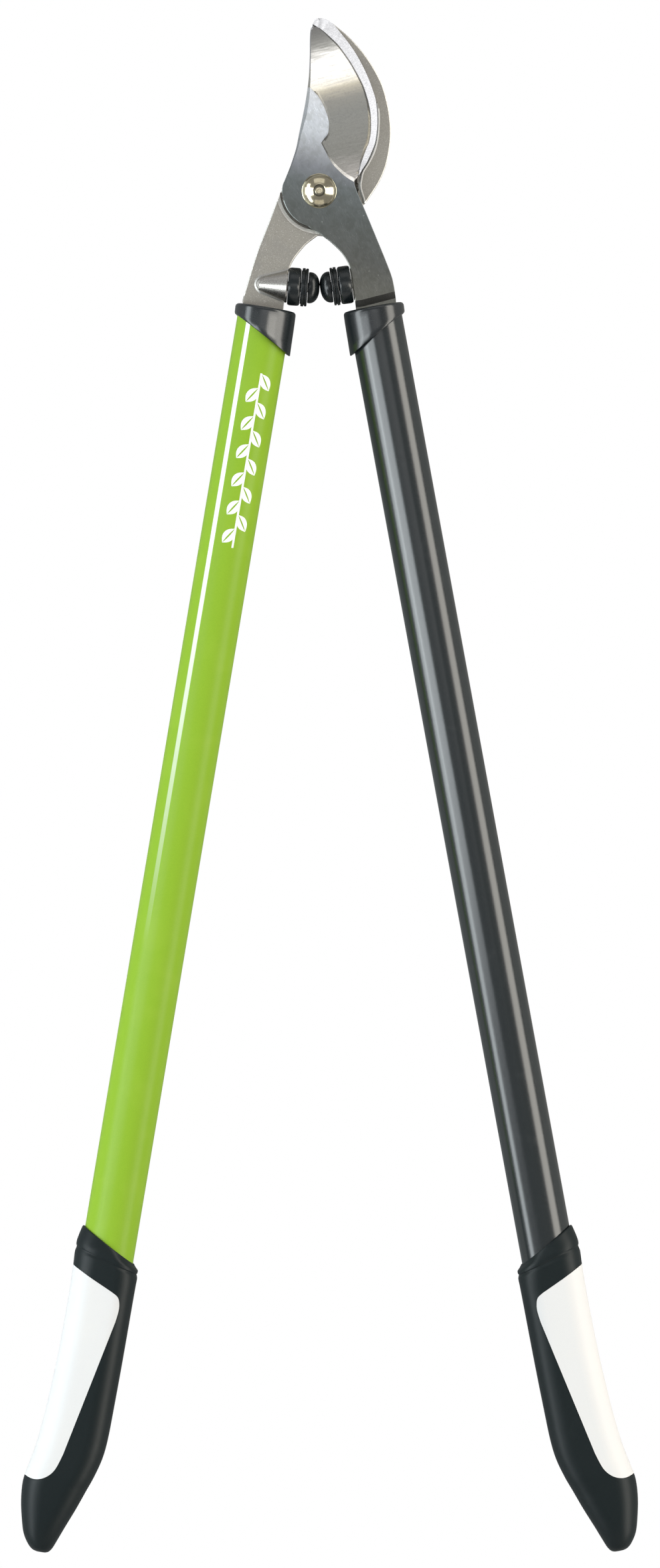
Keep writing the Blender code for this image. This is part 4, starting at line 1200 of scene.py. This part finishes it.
def makeFloor():
    mesh = bpy.data.meshes.new("floor")
    half, level = studio["floorHalf"], studio["floorLevel"]
    corners = [(x * half, y * half, level) for x, y in ((-1, -1), (1, -1), (1, 1), (-1, 1))]
    mesh.from_pydata(corners, [], [(0, 1, 2, 3)])
    floor = bpy.data.objects.new("floor", mesh)
    scene.collection.objects.link(floor)
    material = bpy.data.materials.new("floorWhite")
    material.use_nodes = True
    tree = material.node_tree
    tree.nodes.clear()
    # even and bright where the camera sees it, plain paper for the light it returns
    glow = addNode(tree, "ShaderNodeEmission")
    paper = addNode(tree, "ShaderNodeBsdfDiffuse", {"Color": (studio["floor"],) * 3 + (1.0,)})
    seen = addNode(tree, "ShaderNodeLightPath").outputs["Is Camera Ray"]
    mix = addNode(tree, "ShaderNodeMixShader", {0: seen, 1: paper.outputs[0], 2: glow.outputs[0]})
    addNode(tree, "ShaderNodeOutputMaterial", {0: mix.outputs[0]})
    mesh.materials.append(material)


def makePanel(name, centre, target, size, level, colour):
    lamp = bpy.data.lights.new(name, "AREA")
    lamp.shape = "RECTANGLE"
    lamp.size, lamp.size_y = size
    lamp.energy = level * math.pi * size[0] * size[1]
    lamp.color = colour
    light = bpy.data.objects.new(name, lamp)
    light.location = centre
    aim = Vector(target) - Vector(centre)
    light.rotation_euler = aim.to_track_quat("-Z", "Y").to_euler()
    light.visible_camera = False
    scene.collection.objects.link(light)
    if name in linked:
        state, pieces = linked[name]
        group = bpy.data.collections.new(name + "Pieces")
        for piece in pieces:
            group.objects.link(bpy.data.objects[piece])
        for member in group.collection_objects:
            member.light_linking.link_state = state
        light.light_linking.receiver_collection = group


makeFloor()
world = bpy.data.worlds.new("studioWorld")
world.use_nodes = True
background = world.node_tree.nodes["Background"]
background.inputs["Color"].default_value = (studio["world"], studio["world"], studio["world"] * 1.02, 1.0)
scene.world = world
for name, panel in panels.items():
    makePanel(name, *panel)

camera = bpy.data.cameras.new("camera")
camera.lens = camera.sensor_width * studio["distance"] / studio["field"]
camera.clip_end = 50.0
cameraObject = bpy.data.objects.new("camera", camera)
cameraObject.location = (*studio["centre"], pivot.z + studio["distance"])
scene.collection.objects.link(cameraObject)
scene.camera = cameraObject
scene.view_settings.view_transform = "Standard"
print("stage, lights and camera made")
